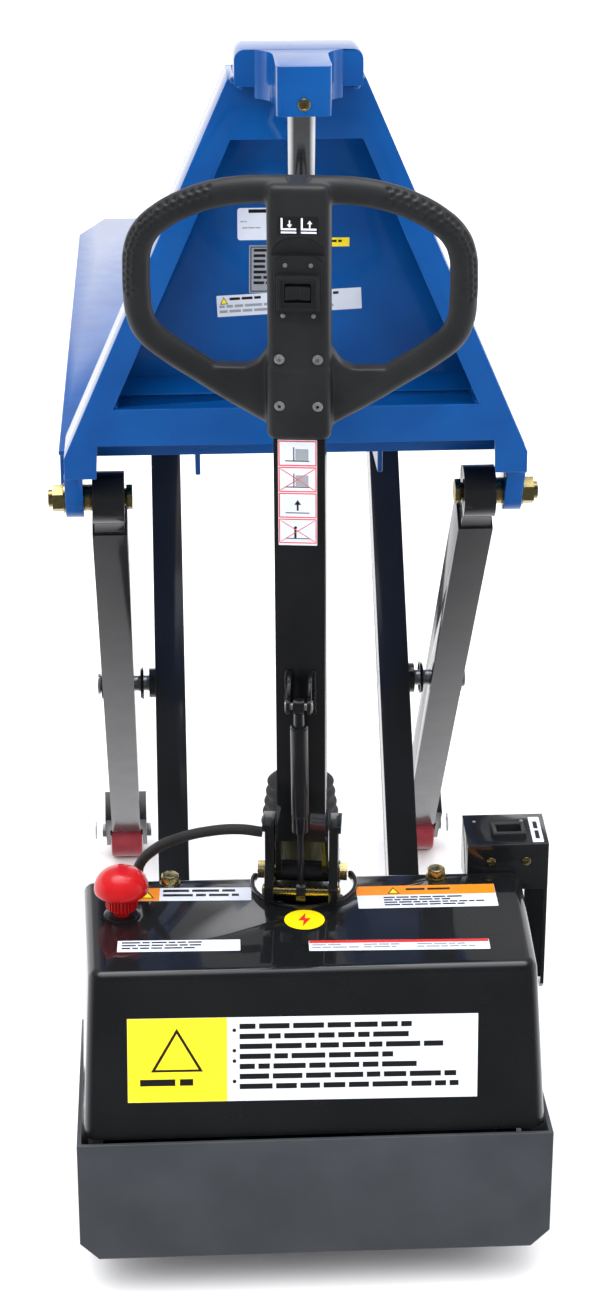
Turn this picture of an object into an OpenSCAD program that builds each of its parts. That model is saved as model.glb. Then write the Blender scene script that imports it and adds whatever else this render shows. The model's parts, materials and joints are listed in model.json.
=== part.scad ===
// Battery-powered high-lift scissor pallet jack, forks raised.
// Millimetres. +Y runs from the operator to the fork tips, +Z is up.
// The origin is on the floor, under the middle of the machine's length and width.

/* [Forks] */
// Overall width across both forks
fork_span = 532; // [500:1:560]
// Width of one fork
fork_w = 162; // [140:1:170]
// Fork tip, measured from the rear scissor pivots
fork_tip_y = 1142; // [1000:1:1200]
// Height of the fork tops when raised
fork_top = 806; // [790:1:820]

/* [Scissor] */
// Height of the outer arms' top pivots when raised
pivot_z = 758; // [745:1:765]
// Height of the inner arms' base pivots and the load wheel axles
base_z = 38; // [36:1:42]
// Arm length between end pivots
arm_len = 934; // [900:1:960]
// Sideways place of each outer arm
outer_x = 210; // [206:1:212]
// Sideways place of each inner arm
inner_x = 144; // [140:1:146]

/* [Lift ram] */
// Lift travel
lift = 716; // [680:1:720]
// Lift cylinder axis, behind the steering axis
ram_y = -145; // [-150:1:-140]

/* [Steering and tiller] */
// Steering axis
steer_y = -213; // [-216:1:-210]
// Steering wheel radius
wheel_r = 90; // [80:1:90]
// Tiller pivot, forward and up
tiller_y = -240; // [-242:1:-238]
// Height of the tiller pivot
tiller_z = 403; // [400:1:406]
// Lean of the upright tiller towards the operator
lean = 5.5; // [4:0.5:7]
// How far the steering stands turned, seen from above
rest_steer = -6.5; // [-10:0.5:10]

/* [Power pack] */
// Outside width of the steel tray
tray_w = 506; // [490:1:510]
// Front face of the steel tray
tray_front = -450; // [-455:1:-445]
// Top of the cover
cover_z = 372; // [366:1:376]

/* [Hidden] */
$fn = 48;

// Working places are measured from the rear scissor pivots; the whole is then moved here.
mid_y = (tray_front + fork_tip_y) / 2;
arm_angle = asin((pivot_z - base_z) / arm_len);
foot_y = arm_len * cos(arm_angle);
play = 0.05;          // running clearance of every pin and sleeve
gap = 0.3;            // space between parts that pass each other
pin_r = 10;           // scissor pins
arm_w = 40;           // outer arm tube, across
inner_w = 38;         // inner arm tube, across
arm_h = 50;           // both arms, in their plane
wall = 4;             // arm tube wall
boss_r = 30;          // top boss of an outer arm
roller_r = 38;        // fork rollers and load wheels
plate = 6;            // fork and mast plate thickness
fork_out = fork_span / 2;
fork_in = fork_out - fork_w;
flange_y = 105;       // where the fork flanges start
flange_z = 746;       // lower edge of the fork flanges
track_z = pivot_z + roller_r + gap;
mast_y = -60;         // front face of the mast
mast_back = 20;       // front face of the back panel
panel_t = 5;          // thickness of the back panel
mast_foot = [fork_out - 9, 824];
mast_top = [73, 1240];
beam_z = [838, 880];
head_z = [1240, 1277];
nose_z = 1227;
tray_z = [50, 193];
tray_back = -190;
stop_at = [-202, -274]; // emergency stop, on the cover
tube_top = 465;
sleeve_r = [25, 20, 15];
stage = [216, 462];   // rise of the two sleeves
spring_low = [-266, 391];
spring_high_t = 236;  // clevis pin along the tiller
spring_high_n = 50;   // clevis pin in front of the tiller's axis
grip_r = 14;

module at_machine() { translate([0, -mid_y, 0]) children(); }
// What turns with the steering stands turned by rest_steer about the steering axis.
module at_steering() at_machine()
    translate([0, steer_y, 0]) rotate([0, 0, rest_steer]) translate([0, -steer_y, 0]) children();
module both_sides() { children(); mirror([1, 0, 0]) children(); }
// Local Y runs along the arm from its lower left (y, z) point at the given slope.
module along(y, z, slope) { translate([0, y, z]) rotate([slope, 0, 0]) children(); }
module outer_line() { along(0, pivot_z, -arm_angle) children(); }
module inner_line() { along(0, base_z, arm_angle) children(); }
// Local Z runs up the tiller from its pivot, local -Y faces the operator.
module tiller_line() { translate([0, tiller_y, tiller_z]) rotate([lean, 0, 0]) children(); }
module across(x0, x1, r) { translate([x0, 0, 0]) rotate([0, 90, 0]) cylinder(h = x1 - x0, r = r); }
module box(x0, x1, y0, y1, z0, z1) {
    translate([x0, y0, z0]) cube([x1 - x0, y1 - y0, z1 - z0]);
}
module hex_across(x0, x1, flats) {
    translate([x0, 0, 0]) rotate([0, 90, 0]) cylinder(h = x1 - x0, r = flats / 2 / cos(30), $fn = 6);
}
module hex_up(z0, z1, flats) {
    translate([0, 0, z0]) cylinder(h = z1 - z0, r = flats / 2 / cos(30), $fn = 6);
}
module ring(z0, z1, ro, ri) {
    translate([0, 0, z0]) difference() {
        cylinder(h = z1 - z0, r = ro);
        translate([0, 0, -1]) cylinder(h = z1 - z0 + 2, r = ri);
    }
}

// ---- Chassis ----
housing_r = 28;
king_r = 17.5;
cross_y = -349;       // front cross member
back_y = -74;         // rear face of the back plate
deck_half = 110;      // half width of the base plate
arm_in = 100;
arm_out = 122;
module base_frame() at_machine() color("#26282b") {
    difference() {
        union() {
            box(-deck_half, deck_half, cross_y, back_y, deck_z - 12, deck_z);
            box(-arm_out, arm_out, back_y - 10, back_y, 16, deck_z);
            both_sides() box(arm_in, arm_out, back_y - 1, 22, 16, 60);
            both_sides() box(deck_half, 228, cross_y, cross_y + 8, 55, deck_z);
            box(-deck_half, deck_half, cross_y, cross_y + 8, 55, deck_z);
            translate([0, steer_y, 0]) cylinder(h = 350, r = housing_r);
        }
        translate([0, steer_y, -1]) cylinder(h = 400, r = king_r + play);
        box(-60, 60, steer_y - 60, steer_y + 60, -2, 190);
        translate([-arm_out - 5, 0, base_z]) across(0, 2 * arm_out + 10, pin_r);
    }
}
module base_pins() at_machine() color("#b8aa70") both_sides()
    translate([0, 0, base_z]) {
        across(arm_in, 170, pin_r);
        across(165, 170, 14);
    }

tray_wall = 5;
wheel_sweep = 131;    // room the steering wheels turn in
module tray_outline(inset) {
    w = tray_w / 2 - inset;
    z0 = tray_z[0] + inset;
    c = 20 - inset / 2;
    polygon([[-w, tray_z[1]], [-w, z0 + c], [-w + c, z0], [w - c, z0], [w, z0 + c], [w, tray_z[1]]]);
}
module bumper_tray() at_machine() color("#1d1e20") difference() {
    translate([0, tray_back, 0]) rotate([90, 0, 0])
        linear_extrude(tray_back - tray_front) tray_outline(0);
    translate([0, tray_back + 1, 0]) rotate([90, 0, 0])
        linear_extrude(tray_back - tray_front - tray_wall + 1) tray_outline(tray_wall);
    box(-tray_w / 2 + tray_wall, tray_w / 2 - tray_wall, tray_front + tray_wall, tray_back + 1,
        tray_z[1] - 60, 200);
    translate([0, steer_y, 0]) cylinder(h = 100, r = wheel_sweep);
}

// Cover: a tapered shell with rounded top edges and a round notch for the tiller bracket.
cover_half = 246;     // half width at the foot and along the back
cover_front = [tray_front + 10, -404];   // front at the foot and at the top
cover_top_half = 234; // half width of the top's front edge
cover_wall = 3;
foot_r = 6;           // corner radii: foot, top front, top back
brow_r = 16;
back_r = 10;
notch_r = 55;         // notch round the tiller bracket
bolt_at = [149, -203];
gland_at = [-185, -206];
module cover_solid(inset, z0) hull() {
    for (sx = [-1, 1]) {
        for (y = [cover_front[0] + foot_r, tray_back - foot_r])
            translate([sx * (cover_half - foot_r), y, z0]) cylinder(h = 1, r = foot_r - inset, $fn = 32);
        translate([sx * (cover_top_half - brow_r), cover_front[1] + brow_r, cover_z - brow_r])
            sphere(r = brow_r - inset, $fn = 32);
        translate([sx * (cover_half - back_r), tray_back - back_r, cover_z - back_r])
            sphere(r = back_r - inset, $fn = 32);
    }
}
module cover() at_machine() color("#202225") difference() {
    union() {
        difference() {
            cover_solid(0, tray_z[1] + gap);
            cover_solid(cover_wall, tray_z[1] - 1);
        }
        translate([0, steer_y, 0]) cylinder(h = cover_z + 4, r = notch_r + 5);
    }
    translate([0, steer_y, 0]) cylinder(h = 500, r = notch_r);
    translate([0, steer_y, 0]) cylinder(h = cover_z - 40, r = notch_r + 15);
    box(-notch_r - 1, notch_r + 1, steer_y + 1, -150, 100, 500);
    box(-notch_r - 15, notch_r + 15, tray_back, -100, 100, 500);
    box(-arm_out + 10, arm_out - 10, tray_back - 10, tray_back + 10, 100, 203);
    for (sx = [-1, 1]) translate([sx * bolt_at[0], bolt_at[1], 300]) cylinder(h = 100, r = 4);
    translate([stop_at[0], stop_at[1], 300]) cylinder(h = 100, r = stop_hole_r);
    translate([gland_at[0], gland_at[1], 300]) cylinder(h = 100, r = 8);
}
battery_x = [137, 229];
battery_y = [-331, -206];
battery_z = [55, 240];
pole = [7, 12];       // radius and height of a battery pole
module batteries() at_machine() color("#3a3d42") both_sides() {
    box(battery_x[0], battery_x[1], battery_y[0], battery_y[1], battery_z[0], battery_z[1]);
    for (y = [battery_y[0] + 21, battery_y[1] - 22])
        translate([(battery_x[0] + battery_x[1]) / 2, y, battery_z[1]]) cylinder(h = pole[1], r = pole[0]);
}
motor_at = [-392, 120];
motor_r = 42;
motor_len = 150;
pump_len = 45;
module pump_motor() at_machine() color("#33363a") {
    translate([-motor_len, motor_at[0], motor_at[1]]) across(0, motor_len, motor_r);
    box(0, pump_len, motor_at[0] - 40, motor_at[0] + 40, motor_at[1] - motor_r, motor_at[1] + motor_r);
}
tank_x = [52, 200];
tank_y = [-435, -350];
tank_z = [60, 160];
module tank_block(inset) box(tank_x[0] + inset, tank_x[1] - inset, tank_y[0] + inset, tank_y[1] - inset,
                             tank_z[0] + inset, tank_z[1] - inset);
module oil_tank() at_machine() color("#8d9196") difference() {
    tank_block(0);
    tank_block(3);
}
tube_r = 30;
deck_z = 202;         // top of the base plate
module cylinder_tube() at_machine() translate([0, ram_y, 0]) color("#4a4c3c") difference() {
    union() {
        translate([0, 0, deck_z]) cylinder(h = tube_top - deck_z, r = tube_r);
        translate([0, 0, deck_z]) cylinder(h = 12, r = tube_r + 1.5);
    }
    translate([0, 0, deck_z + 8]) cylinder(h = 400, r = sleeve_r[0] + play);
}
boot_z = [414, 473];
boot_ribs = 4;
module cylinder_boot() at_machine() translate([0, ram_y, 0]) color("#191a1b") rotate_extrude()
    polygon(concat([[tube_r, boot_z[0]], [36, boot_z[0]]],
        [for (i = [0:24]) let (t = i / 24)
            [42.5 + 2.5 * cos(360 * boot_ribs * t) - 7 * t, boot_z[0] + 3 + 50 * t]],
        [[36, boot_z[1] - 3], [26, boot_z[1]], [25.4, boot_z[1]], [25.4, tube_top], [tube_r, tube_top]]));
module cover_bolts() at_machine() color("#b8aa70") for (sx = [-1, 1])
    translate([sx * bolt_at[0], bolt_at[1], 0]) {
        hex_up(cover_z + 1.5, cover_z + 11, 19);
        translate([0, 0, cover_z]) cylinder(h = 1.5, r = 11.5);
        translate([0, 0, cover_z - 20]) cylinder(h = 22, r = 4);
    }

// ---- Emergency stop ----
stop_stem_r = 9;
stop_hole_r = 11;
stop_rise = 8.5;      // foot of the skirt above the cover, which leaves room to press
stop_r = 30;          // mushroom
stop_rim = 33;        // its widest place above the cover
module stop_collar() at_machine() translate([stop_at[0], stop_at[1], 0]) color("#c02830") {
    ring(cover_z, cover_z + 2, 20, stop_stem_r + gap);
    ring(cover_z - 30, cover_z, stop_hole_r - 0.2, stop_stem_r + gap);
}
module stop_button() at_machine() translate([stop_at[0], stop_at[1], cover_z]) color("#d22028")
    rotate_extrude() polygon(concat([[0, -28], [stop_stem_r, -28], [stop_stem_r, stop_rise], [16, stop_rise + 0.5],
                             [17, stop_rim - 8], [28, stop_rim - 4]],
        [for (a = [0:10:90]) [stop_r * cos(a), stop_rim + 24 * sin(a)]]));

// ---- Charger ----
box_x = [186, 278];
box_y = [-188, -128];
box_z = [345, 410];
socket_x = [216, 254];
socket_y = [-176, -146];
screw_x = [213, 253];
screw_z = 381;
module charger_box() at_machine() color("#1c1d1f") difference() {
    union() {
        rotate([90, 0, 90]) translate([0, 0, box_x[0]]) linear_extrude(box_x[1] - box_x[0])
            polygon([[box_y[0], box_z[0]], [box_y[1], box_z[0]], [box_y[1], box_z[1]], [box_y[0], box_z[1] - 8]]);
        translate([box_x[1], 0, 0]) rotate([0, -90, 0]) linear_extrude(4)
            polygon([[222, box_y[0]], [212, box_y[0] + 10], [212, box_y[1] - 10], [222, box_y[1]],
                     [box_z[1] - 4, box_y[1]], [box_z[1] - 8, box_y[0]]]);
        box(252, box_x[1], -186, -182, 230, box_z[0]);
    }
    box(box_x[0] + 3, box_x[1] - 3, box_y[0] + 4, box_y[1] - 4, box_z[0] + 4, box_z[1] - 12);
    box(socket_x[0], socket_x[1], socket_y[0], socket_y[1], 380, 430);
    for (x = screw_x) translate([x, box_y[0] - 12, screw_z]) rotate([-90, 0, 0]) cylinder(h = 30, r = 2.5);
}
module charger_socket() at_machine() color("#0f1012") difference() {
    box(socket_x[0], socket_x[1], socket_y[0], socket_y[1], 386, 409.5);
    box(socket_x[0] + 5, socket_x[1] - 5, socket_y[0] + 6, socket_y[1] - 6, 396, 420);
}
module charger_screws() at_machine() color("#c9cccf")
    for (x = screw_x) translate([x, box_y[0] - 3, screw_z]) rotate([-90, 0, 0]) {
        cylinder(h = 3, r = 4.5);
        cylinder(h = 10, r = 2.5);
    }

// ---- Handle cable, a loose loop from the bracket to the cover ----
cable_r = 6;
cable_pts = [[-47, -241, 452], [-57, -240, 454], [-71, -239, 455], [-88, -237, 454], [-105, -234, 451],
    [-122, -232, 446], [-139, -226, 439], [-154, -220, 430], [-167, -214, 419], [-177, -209, 407],
    [-183, -206, 396], [-185, -206, 385]];
function unit(v) = v / norm(v);
function heading(p, i) = unit(p[min(i + 1, len(p) - 1)] - p[max(i - 1, 0)]);
module sweep_tube(p, r, sides) {
    rings = [for (i = [0:len(p) - 1])
        let (d = heading(p, i), u = unit(cross(d, [0.1, 1, 0])), v = cross(d, u))
            for (k = [0:sides - 1]) p[i] + r * (cos(360 * k / sides) * u + sin(360 * k / sides) * v)];
    last = len(p) - 1;
    polyhedron(rings, concat(
        [[for (k = [0:sides - 1]) k]],
        [for (i = [0:last - 1]) for (k = [0:sides - 1])
            [i * sides + k, (i + 1) * sides + k, (i + 1) * sides + (k + 1) % sides,
             i * sides + (k + 1) % sides]],
        [[for (k = [sides - 1:-1:0]) last * sides + k]]));
}
module cable() at_machine() color("#1b1c1e") sweep_tube(cable_pts, cable_r, 12);
module cable_gland() at_machine() translate([gland_at[0], gland_at[1], 0]) color("#151617") {
    translate([0, 0, cover_z]) cylinder(h = 12, r1 = 11, r2 = 8);
    translate([0, 0, cover_z - 12]) cylinder(h = 12, r = 8);
}

// ---- Steering ----
module steer_yoke() at_steering() translate([0, steer_y, 0]) color("#26282b") difference() {
    union() {
        cylinder(h = 366, r = king_r);
        box(-30, 30, -28, 28, 60, 188);
    }
    translate([0, 0, -1]) cylinder(h = 61, r = 40);
    translate([-50, 0, wheel_r]) across(0, 100, pin_r);
}
module steer_axle() at_steering() translate([0, steer_y, wheel_r]) color("#9a9c9e") {
    across(-92, 92, pin_r);
    both_sides() across(86.5, 92, 15);
}
wheel_in = 35;
wheel_out = 85;
module steer_tyre() translate([0, steer_y, wheel_r]) difference() {
    across(wheel_in, wheel_out, wheel_r);
    across(wheel_in - 1, wheel_out + 1, 68);
}
module steer_hub() translate([0, steer_y, wheel_r]) difference() {
    across(wheel_in + 1, wheel_out - 1, 68);
    across(wheel_in - 1, wheel_out + 1, pin_r + play);
    across(wheel_in - 1, wheel_in + 12, 58);
    across(wheel_out - 12, wheel_out + 1, 58);
}
module hub_boss() translate([0, steer_y, wheel_r]) difference() {
    across(wheel_in + 1, wheel_out - 1, 26);
    across(wheel_in, wheel_out, pin_r + play);
}
module steer_tyre_left() at_steering() color("#8e2f3a") mirror([1, 0, 0]) steer_tyre();
module steer_tyre_right() at_steering() color("#8e2f3a") steer_tyre();
module steer_hub_left() at_steering() color("#777a7d") mirror([1, 0, 0]) { steer_hub(); hub_boss(); }
module steer_hub_right() at_steering() color("#777a7d") { steer_hub(); hub_boss(); }

module tiller_bracket() at_steering() color("#1e2022") difference() {
    union() {
        translate([0, steer_y, 354]) cylinder(h = 20, r = 27);
        box(-40, 40, -244, steer_y, 366, 374);
        both_sides() rotate([90, 0, 90]) translate([0, 0, 30]) linear_extrude(10)
            polygon([[-244, 366], [-198, 366], [-198, 410], [-226, 420], [-226, 466], [-262, 466],
                     [-262, 420], [-276, 400], [-276, 381], [-244, 381]]);
        both_sides() box(30, 43, -262, -226, 460, 468);
    }
    translate([0, steer_y, 300]) cylinder(h = 66, r = king_r);
    translate([-50, tiller_y, tiller_z]) across(0, 100, 8);
    translate([-50, spring_low[0], spring_low[1]]) across(0, 100, 5);
}
module tiller_pivot_bolt() at_steering() translate([0, tiller_y, tiller_z]) color("#c3b26a") {
    across(-46, 46, 8);
    both_sides() { across(40, 41.5, 12); hex_across(41.5, 49, 19); }
}
module spring_pin() at_steering() translate([0, spring_low[0], spring_low[1]]) color("#c3b26a") {
    across(-43, 43, 5);
    both_sides() across(40, 42, 7);
}

// ---- Tiller ----
tiller_w = 52;
tiller_d = 40;
module tiller_tube() at_steering() tiller_line() color("#202225") difference() {
    union() {
        difference() {
            box(-tiller_w / 2, tiller_w / 2, -tiller_d / 2, tiller_d / 2, 50, 560);
            box(-tiller_w / 2 + 3, tiller_w / 2 - 3, -tiller_d / 2 + 3, tiller_d / 2 - 3, 55, 600);
        }
        both_sides() rotate([90, 0, 90]) translate([0, 0, 22]) linear_extrude(6.5)
            polygon([[-11, -4], [11, -4], [18, 50], [18, 70], [-18, 70], [-18, 50]]);
        across(-29, 29, 11.5);
    }
    across(-60, 60, 8 + play);
}
module handle_head() at_steering() tiller_line() color("#26282a") difference() {
    union() {
        hull() for (x = [-23, 23], y = [-17, 17], z = [527, 588])
            translate([x, y, z]) cylinder(h = 8, r = 10, $fn = 32);
        hull() for (x = [-20, 20], y = [-12, 12], z = [590, 786])
            translate([x, y, z]) cylinder(h = 8, r = 10, $fn = 32);
    }
    box(-tiller_w / 2, tiller_w / 2, -tiller_d / 2, tiller_d / 2, 500, 560);
    box(-24, 24, -40, -19, 655, 722);
    for (x = [-19, 19], z = [565, 614]) translate([x, 0, z]) rotate([90, 0, 0])
        cylinder(h = 50, r = 3);
}
loop_pts = [[26, 782], [62, 778], [104, 766], [138, 744], [157, 714], [160, 684], [158, 652], [148, 628],
    [126, 608], [80, 578], [30, 548]];
module handle_loop() at_steering() tiller_line() color("#26282a") difference() {
    both_sides() for (i = [0:len(loop_pts) - 2]) hull() for (p = [loop_pts[i], loop_pts[i + 1]])
        translate([p[0], 0, p[1]]) sphere(r = grip_r, $fn = 16);
    box(-33.2, 33.2, -30, 30, 500, 596.2);
    box(-30.2, 30.2, -30, 30, 590, 830);
}
module head_screws() at_steering() tiller_line() color("#c9cccf")
    for (x = [-19, 19], z = [565, 614]) translate([x, z < 590 ? -20.5 : -15.5, z]) rotate([90, 0, 0]) {
        cylinder(h = 7, r = 3);
        translate([0, 0, 6.5]) cylinder(h = 2.5, r = 5);
    }
module switch_panel() at_steering() tiller_line() color("#1a1b1d") difference() {
    union() {
        box(-24, 24, -23, -19, 655, 722);
        box(-21, 21, -29, -23, 668, 704);
    }
    box(-13, 13, -40, -20, 676, 696);
}
module lift_rocker() at_steering() tiller_line() color("#101112")
    translate([0, -24, 686]) intersection() {
        box(-12.4, 12.4, -12, 2.5, -7, 7);
        translate([0, 10, 0]) across(-20, 20, 18);
    }

// ---- Gas spring between tiller and bracket ----
high = [tiller_y - spring_high_n * cos(lean) - spring_high_t * sin(lean),
        tiller_z - spring_high_n * sin(lean) + spring_high_t * cos(lean)];
spring_len = norm(high - spring_low);
spring_tilt = atan2(spring_low[0] - high[0], high[1] - spring_low[1]);
module spring_line() translate([0, spring_low[0], spring_low[1]]) rotate([spring_tilt, 0, 0]) children();
eye_r = 8.6;
barrel_foot = 84;
barrel_r = 9.6;
module spring_clevis() at_steering() tiller_line() color("#232527") {
    both_sides() rotate([90, 0, 90]) translate([0, 0, 9]) linear_extrude(4)
        polygon([[-20, 212], [-20, 262], [-44, 250], [-58, 242], [-58, 230], [-44, 226]]);
    translate([0, -spring_high_n, spring_high_t]) across(-15, 15, 4);
}
module gas_spring_tube() at_steering() spring_line() color("#1c1d1f") difference() {
    union() {
        translate([0, 0, barrel_foot]) cylinder(h = spring_len - barrel_foot - 24, r = barrel_r);
        translate([0, 0, spring_len - 25]) cylinder(h = 20, r = 5.5);
        translate([0, 0, spring_len]) across(-6, 6, 8.5);
    }
    translate([0, 0, spring_len]) across(-20, 20, 4 + play);
    translate([0, 0, 20]) cylinder(h = 170, r = 3.5 + play);
}
module gas_spring_rod() at_steering() spring_line() color("#6a6d70") difference() {
    union() {
        translate([0, 0, eye_r]) cylinder(h = 150, r = 3.5);
        across(-5, 5, eye_r + 3);
    }
    across(-20, 20, eye_r);
}

// ---- Inner scissor frame ----
module inner_arm() inner_line() difference() {
    union() {
        difference() {
            translate([inner_x - inner_w / 2, -20, -arm_h / 2]) cube([inner_w, 900, arm_h]);
            translate([inner_x - inner_w / 2 + wall, -14, -arm_h / 2 + wall])
                cube([inner_w - 2 * wall, 880, arm_h - 2 * wall]);
        }
        across(inner_x - 20.5, inner_x + 20.5, 20);
        translate([0, arm_len / 2, 0]) across(inner_x - 19, inner_x + 27, 19);
        for (x = [inner_x - 25, inner_x + 19]) translate([x, 860, -20]) cube([6, arm_len - 860, 40]);
        for (x = [inner_x - 25, inner_x + 19]) translate([0, arm_len, 0]) across(x, x + 6, 20);
    }
    across(60, 240, pin_r + play);
    translate([0, arm_len / 2, 0]) across(60, 240, pin_r);
    translate([0, arm_len, 0]) across(60, 240, 8);
    translate([0, 60, 0]) across(60, inner_x - inner_w / 2 + 0.1, 18);
}
module inner_arm_left() at_machine() color("#1b1c1e") mirror([1, 0, 0]) inner_arm();
module inner_arm_right() at_machine() color("#1b1c1e") inner_arm();
module inner_cross_tube() at_machine() inner_line() translate([0, 60, 0]) color("#1b1c1e")
    difference() {
        across(-inner_x + inner_w / 2, inner_x - inner_w / 2, 18);
        across(-inner_x + inner_w / 2 - 1, inner_x - inner_w / 2 + 1, 14);
    }
module mid_pins() at_machine() both_sides() inner_line() translate([0, arm_len / 2, 0])
    color("#8b8d90") {
        across(inner_x - 19, outer_x + 26, pin_r);
        across(outer_x + 23, outer_x + 27, 13);
    }
module roller_axles() at_machine() both_sides() inner_line() translate([0, arm_len, 0])
    color("#8b8d90") {
        across(inner_x - 25, inner_x + 25, 8);
        across(inner_x - 27, inner_x - 25, 10);
        across(inner_x + 25, inner_x + 27, 10);
    }
module roller(x, w) difference() {
    across(x - w / 2, x + w / 2, roller_r);
    across(x - w, x + w, 8 + play);
}
module fork_roller_left() at_machine() color("#96353f") mirror([1, 0, 0])
    inner_line() translate([0, arm_len, 0]) roller(inner_x, 36);
module fork_roller_right() at_machine() color("#96353f")
    inner_line() translate([0, arm_len, 0]) roller(inner_x, 36);

// ---- Outer scissor arms ----
module outer_arm() outer_line() difference() {
    union() {
        across(outer_x - 18, outer_x + 18, boss_r);
        translate([outer_x - 17, 0, -22]) cube([34, 50, 44]);
        difference() {
            translate([outer_x - arm_w / 2, 44, -arm_h / 2]) cube([arm_w, 840, arm_h]);
            translate([outer_x - arm_w / 2 + wall, 50, -arm_h / 2 + wall])
                cube([arm_w - 2 * wall, 820, arm_h - 2 * wall]);
        }
        translate([0, arm_len / 2, 0]) across(outer_x - arm_w / 2, outer_x + 22, 19);
        translate([outer_x - 29, 850, -22]) cube([58, 36, 44]);
        for (x = [outer_x - 29, outer_x + 23]) {
            translate([x, 850, -22]) cube([6, arm_len - 850, 44]);
            translate([0, arm_len, 0]) across(x, x + 6, 22);
        }
    }
    across(60, 300, pin_r + play);
    translate([0, arm_len / 2, 0]) across(60, 300, pin_r + play);
    translate([0, arm_len, 0]) across(60, 300, 8);
}
module outer_arm_left() at_machine() color("#5d6164") mirror([1, 0, 0]) outer_arm();
module outer_arm_right() at_machine() color("#5d6164") outer_arm();
module load_axle() outer_line() translate([0, arm_len, 0]) {
    across(outer_x - 29, outer_x + 29, 8);
    hex_across(outer_x + 29, outer_x + 35, 18);
    hex_across(outer_x - 35, outer_x - 29, 18);
}
module load_axle_left() at_machine() color("#9a9c9e") mirror([1, 0, 0]) load_axle();
module load_axle_right() at_machine() color("#9a9c9e") load_axle();
module load_wheel() outer_line() translate([0, arm_len, 0]) roller(outer_x, 44);
module load_wheel_left() at_machine() color("#a33642") mirror([1, 0, 0]) load_wheel();
module load_wheel_right() at_machine() color("#a33642") load_wheel();

// ---- Fork frame ----
tip_taper = 36;       // how far the tip narrows on each side
tip_len = 102;        // length of the tip's taper
fork_foot = mast_back + panel_t;
module fork() difference() {
    union() {
        translate([0, 0, fork_top - plate]) linear_extrude(plate)
            polygon([[fork_in, fork_foot], [fork_out, fork_foot], [fork_out, fork_tip_y - tip_len],
                     [fork_out - tip_taper, fork_tip_y], [fork_in + tip_taper, fork_tip_y],
                     [fork_in, fork_tip_y - tip_len]]);
        for (x = [fork_in, fork_out - plate])
            rotate([90, 0, 90]) translate([0, 0, x]) linear_extrude(plate)
                polygon([[x < 150 ? flange_y : mast_back + 40, flange_z], [fork_tip_y - 230, flange_z],
                         [fork_tip_y - tip_len, fork_top - 30], [fork_tip_y - tip_len, fork_top],
                         [x < 150 ? flange_y : mast_back + 40, fork_top]]);
        box(inner_x - 22, inner_x + 22, 500, fork_tip_y - tip_len, track_z, fork_top - 1);
    }
    box(fork_in - 10, fork_out + 10, -100, fork_foot, 700, 900);
}
module left_fork() at_machine() color("#1e5fb0") mirror([1, 0, 0]) fork();
module right_fork() at_machine() color("#1e5fb0") fork();

edge_slope = (mast_top[0] - mast_foot[0]) / (mast_top[1] - mast_foot[1]);
function edge_x(z) = mast_foot[0] + edge_slope * (z - mast_foot[1]);
face_w = 31;
web = plate + 1;      // sloping outer webs
gusset_z = 1176;      // lower edge of the apex gusset
module mast_frame() at_machine() color("#1e5fb0") {
    // front faces, apex gusset and the outer webs
    translate([0, mast_y + plate, 0]) rotate([90, 0, 0]) linear_extrude(plate) difference() {
        polygon([[-edge_x(mast_foot[1]), mast_foot[1] - 24], [-edge_x(mast_foot[1]), mast_foot[1]],
                 [-mast_top[0], mast_top[1]], [mast_top[0], mast_top[1]],
                 [edge_x(mast_foot[1]), mast_foot[1]], [edge_x(mast_foot[1]), mast_foot[1] - 24]]);
        polygon([[-edge_x(beam_z[1]) + face_w, beam_z[1]], [-edge_x(gusset_z) + face_w, gusset_z],
                 [edge_x(gusset_z) - face_w, gusset_z], [edge_x(beam_z[1]) - face_w, beam_z[1]]]);
        polygon([[-edge_x(beam_z[0]) + face_w, beam_z[0]], [-edge_x(mast_foot[1]) + face_w, 700],
                 [edge_x(mast_foot[1]) - face_w, 700], [edge_x(beam_z[0]) - face_w, beam_z[0]]]);
    }
    for (sx = [-1, 1]) translate([0, mast_back, 0]) rotate([90, 0, 0])
        linear_extrude(mast_back - mast_y - plate)
            polygon([[sx * (mast_foot[0] - plate), mast_foot[1] - 24], [sx * mast_foot[0], mast_foot[1] - 24],
                     [sx * mast_foot[0], mast_foot[1]], [sx * mast_top[0], mast_top[1]],
                     [sx * (mast_top[0] - web), mast_top[1]], [sx * (mast_foot[0] - web), mast_foot[1]]]);
    // cross beam shelf
    box(-edge_x(beam_z[1]) + plate, edge_x(beam_z[1]) - plate, mast_y + plate, mast_back,
        beam_z[1] - plate, beam_z[1]);
}
module back_panel() at_machine() color("#1b56a2") translate([0, mast_back + panel_t, 0])
    rotate([90, 0, 0]) linear_extrude(panel_t)
        polygon([[-mast_foot[0], fork_top - plate], [-mast_foot[0], mast_foot[1]],
                 [-mast_top[0], mast_top[1]], [mast_top[0], mast_top[1]], [mast_foot[0], mast_foot[1]],
                 [mast_foot[0], fork_top - plate]]);
module crosshead() at_machine() color("#1e5fb0") difference() {
    union() {
        box(-67, 67, -98, -44, head_z[0], head_z[1]);
        translate([0, 0, nose_z]) linear_extrude(head_z[1] - nose_z) difference() {
            polygon([[-29, -196], [29, -196], [46, -98], [46, -72], [-46, -72], [-46, -98]]);
            for (sx = [-1, 1]) translate([sx * 74, -148]) circle(r = 46);
        }
    }
    translate([0, ram_y, nose_z - 1]) cylinder(h = 36, r = sleeve_r[2]);
    translate([0, -200, 1239]) rotate([-90, 0, 0]) cylinder(h = 41, r = 5);
    box(-80, 80, mast_y, -40, nose_z - 1, head_z[0]);
}
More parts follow.
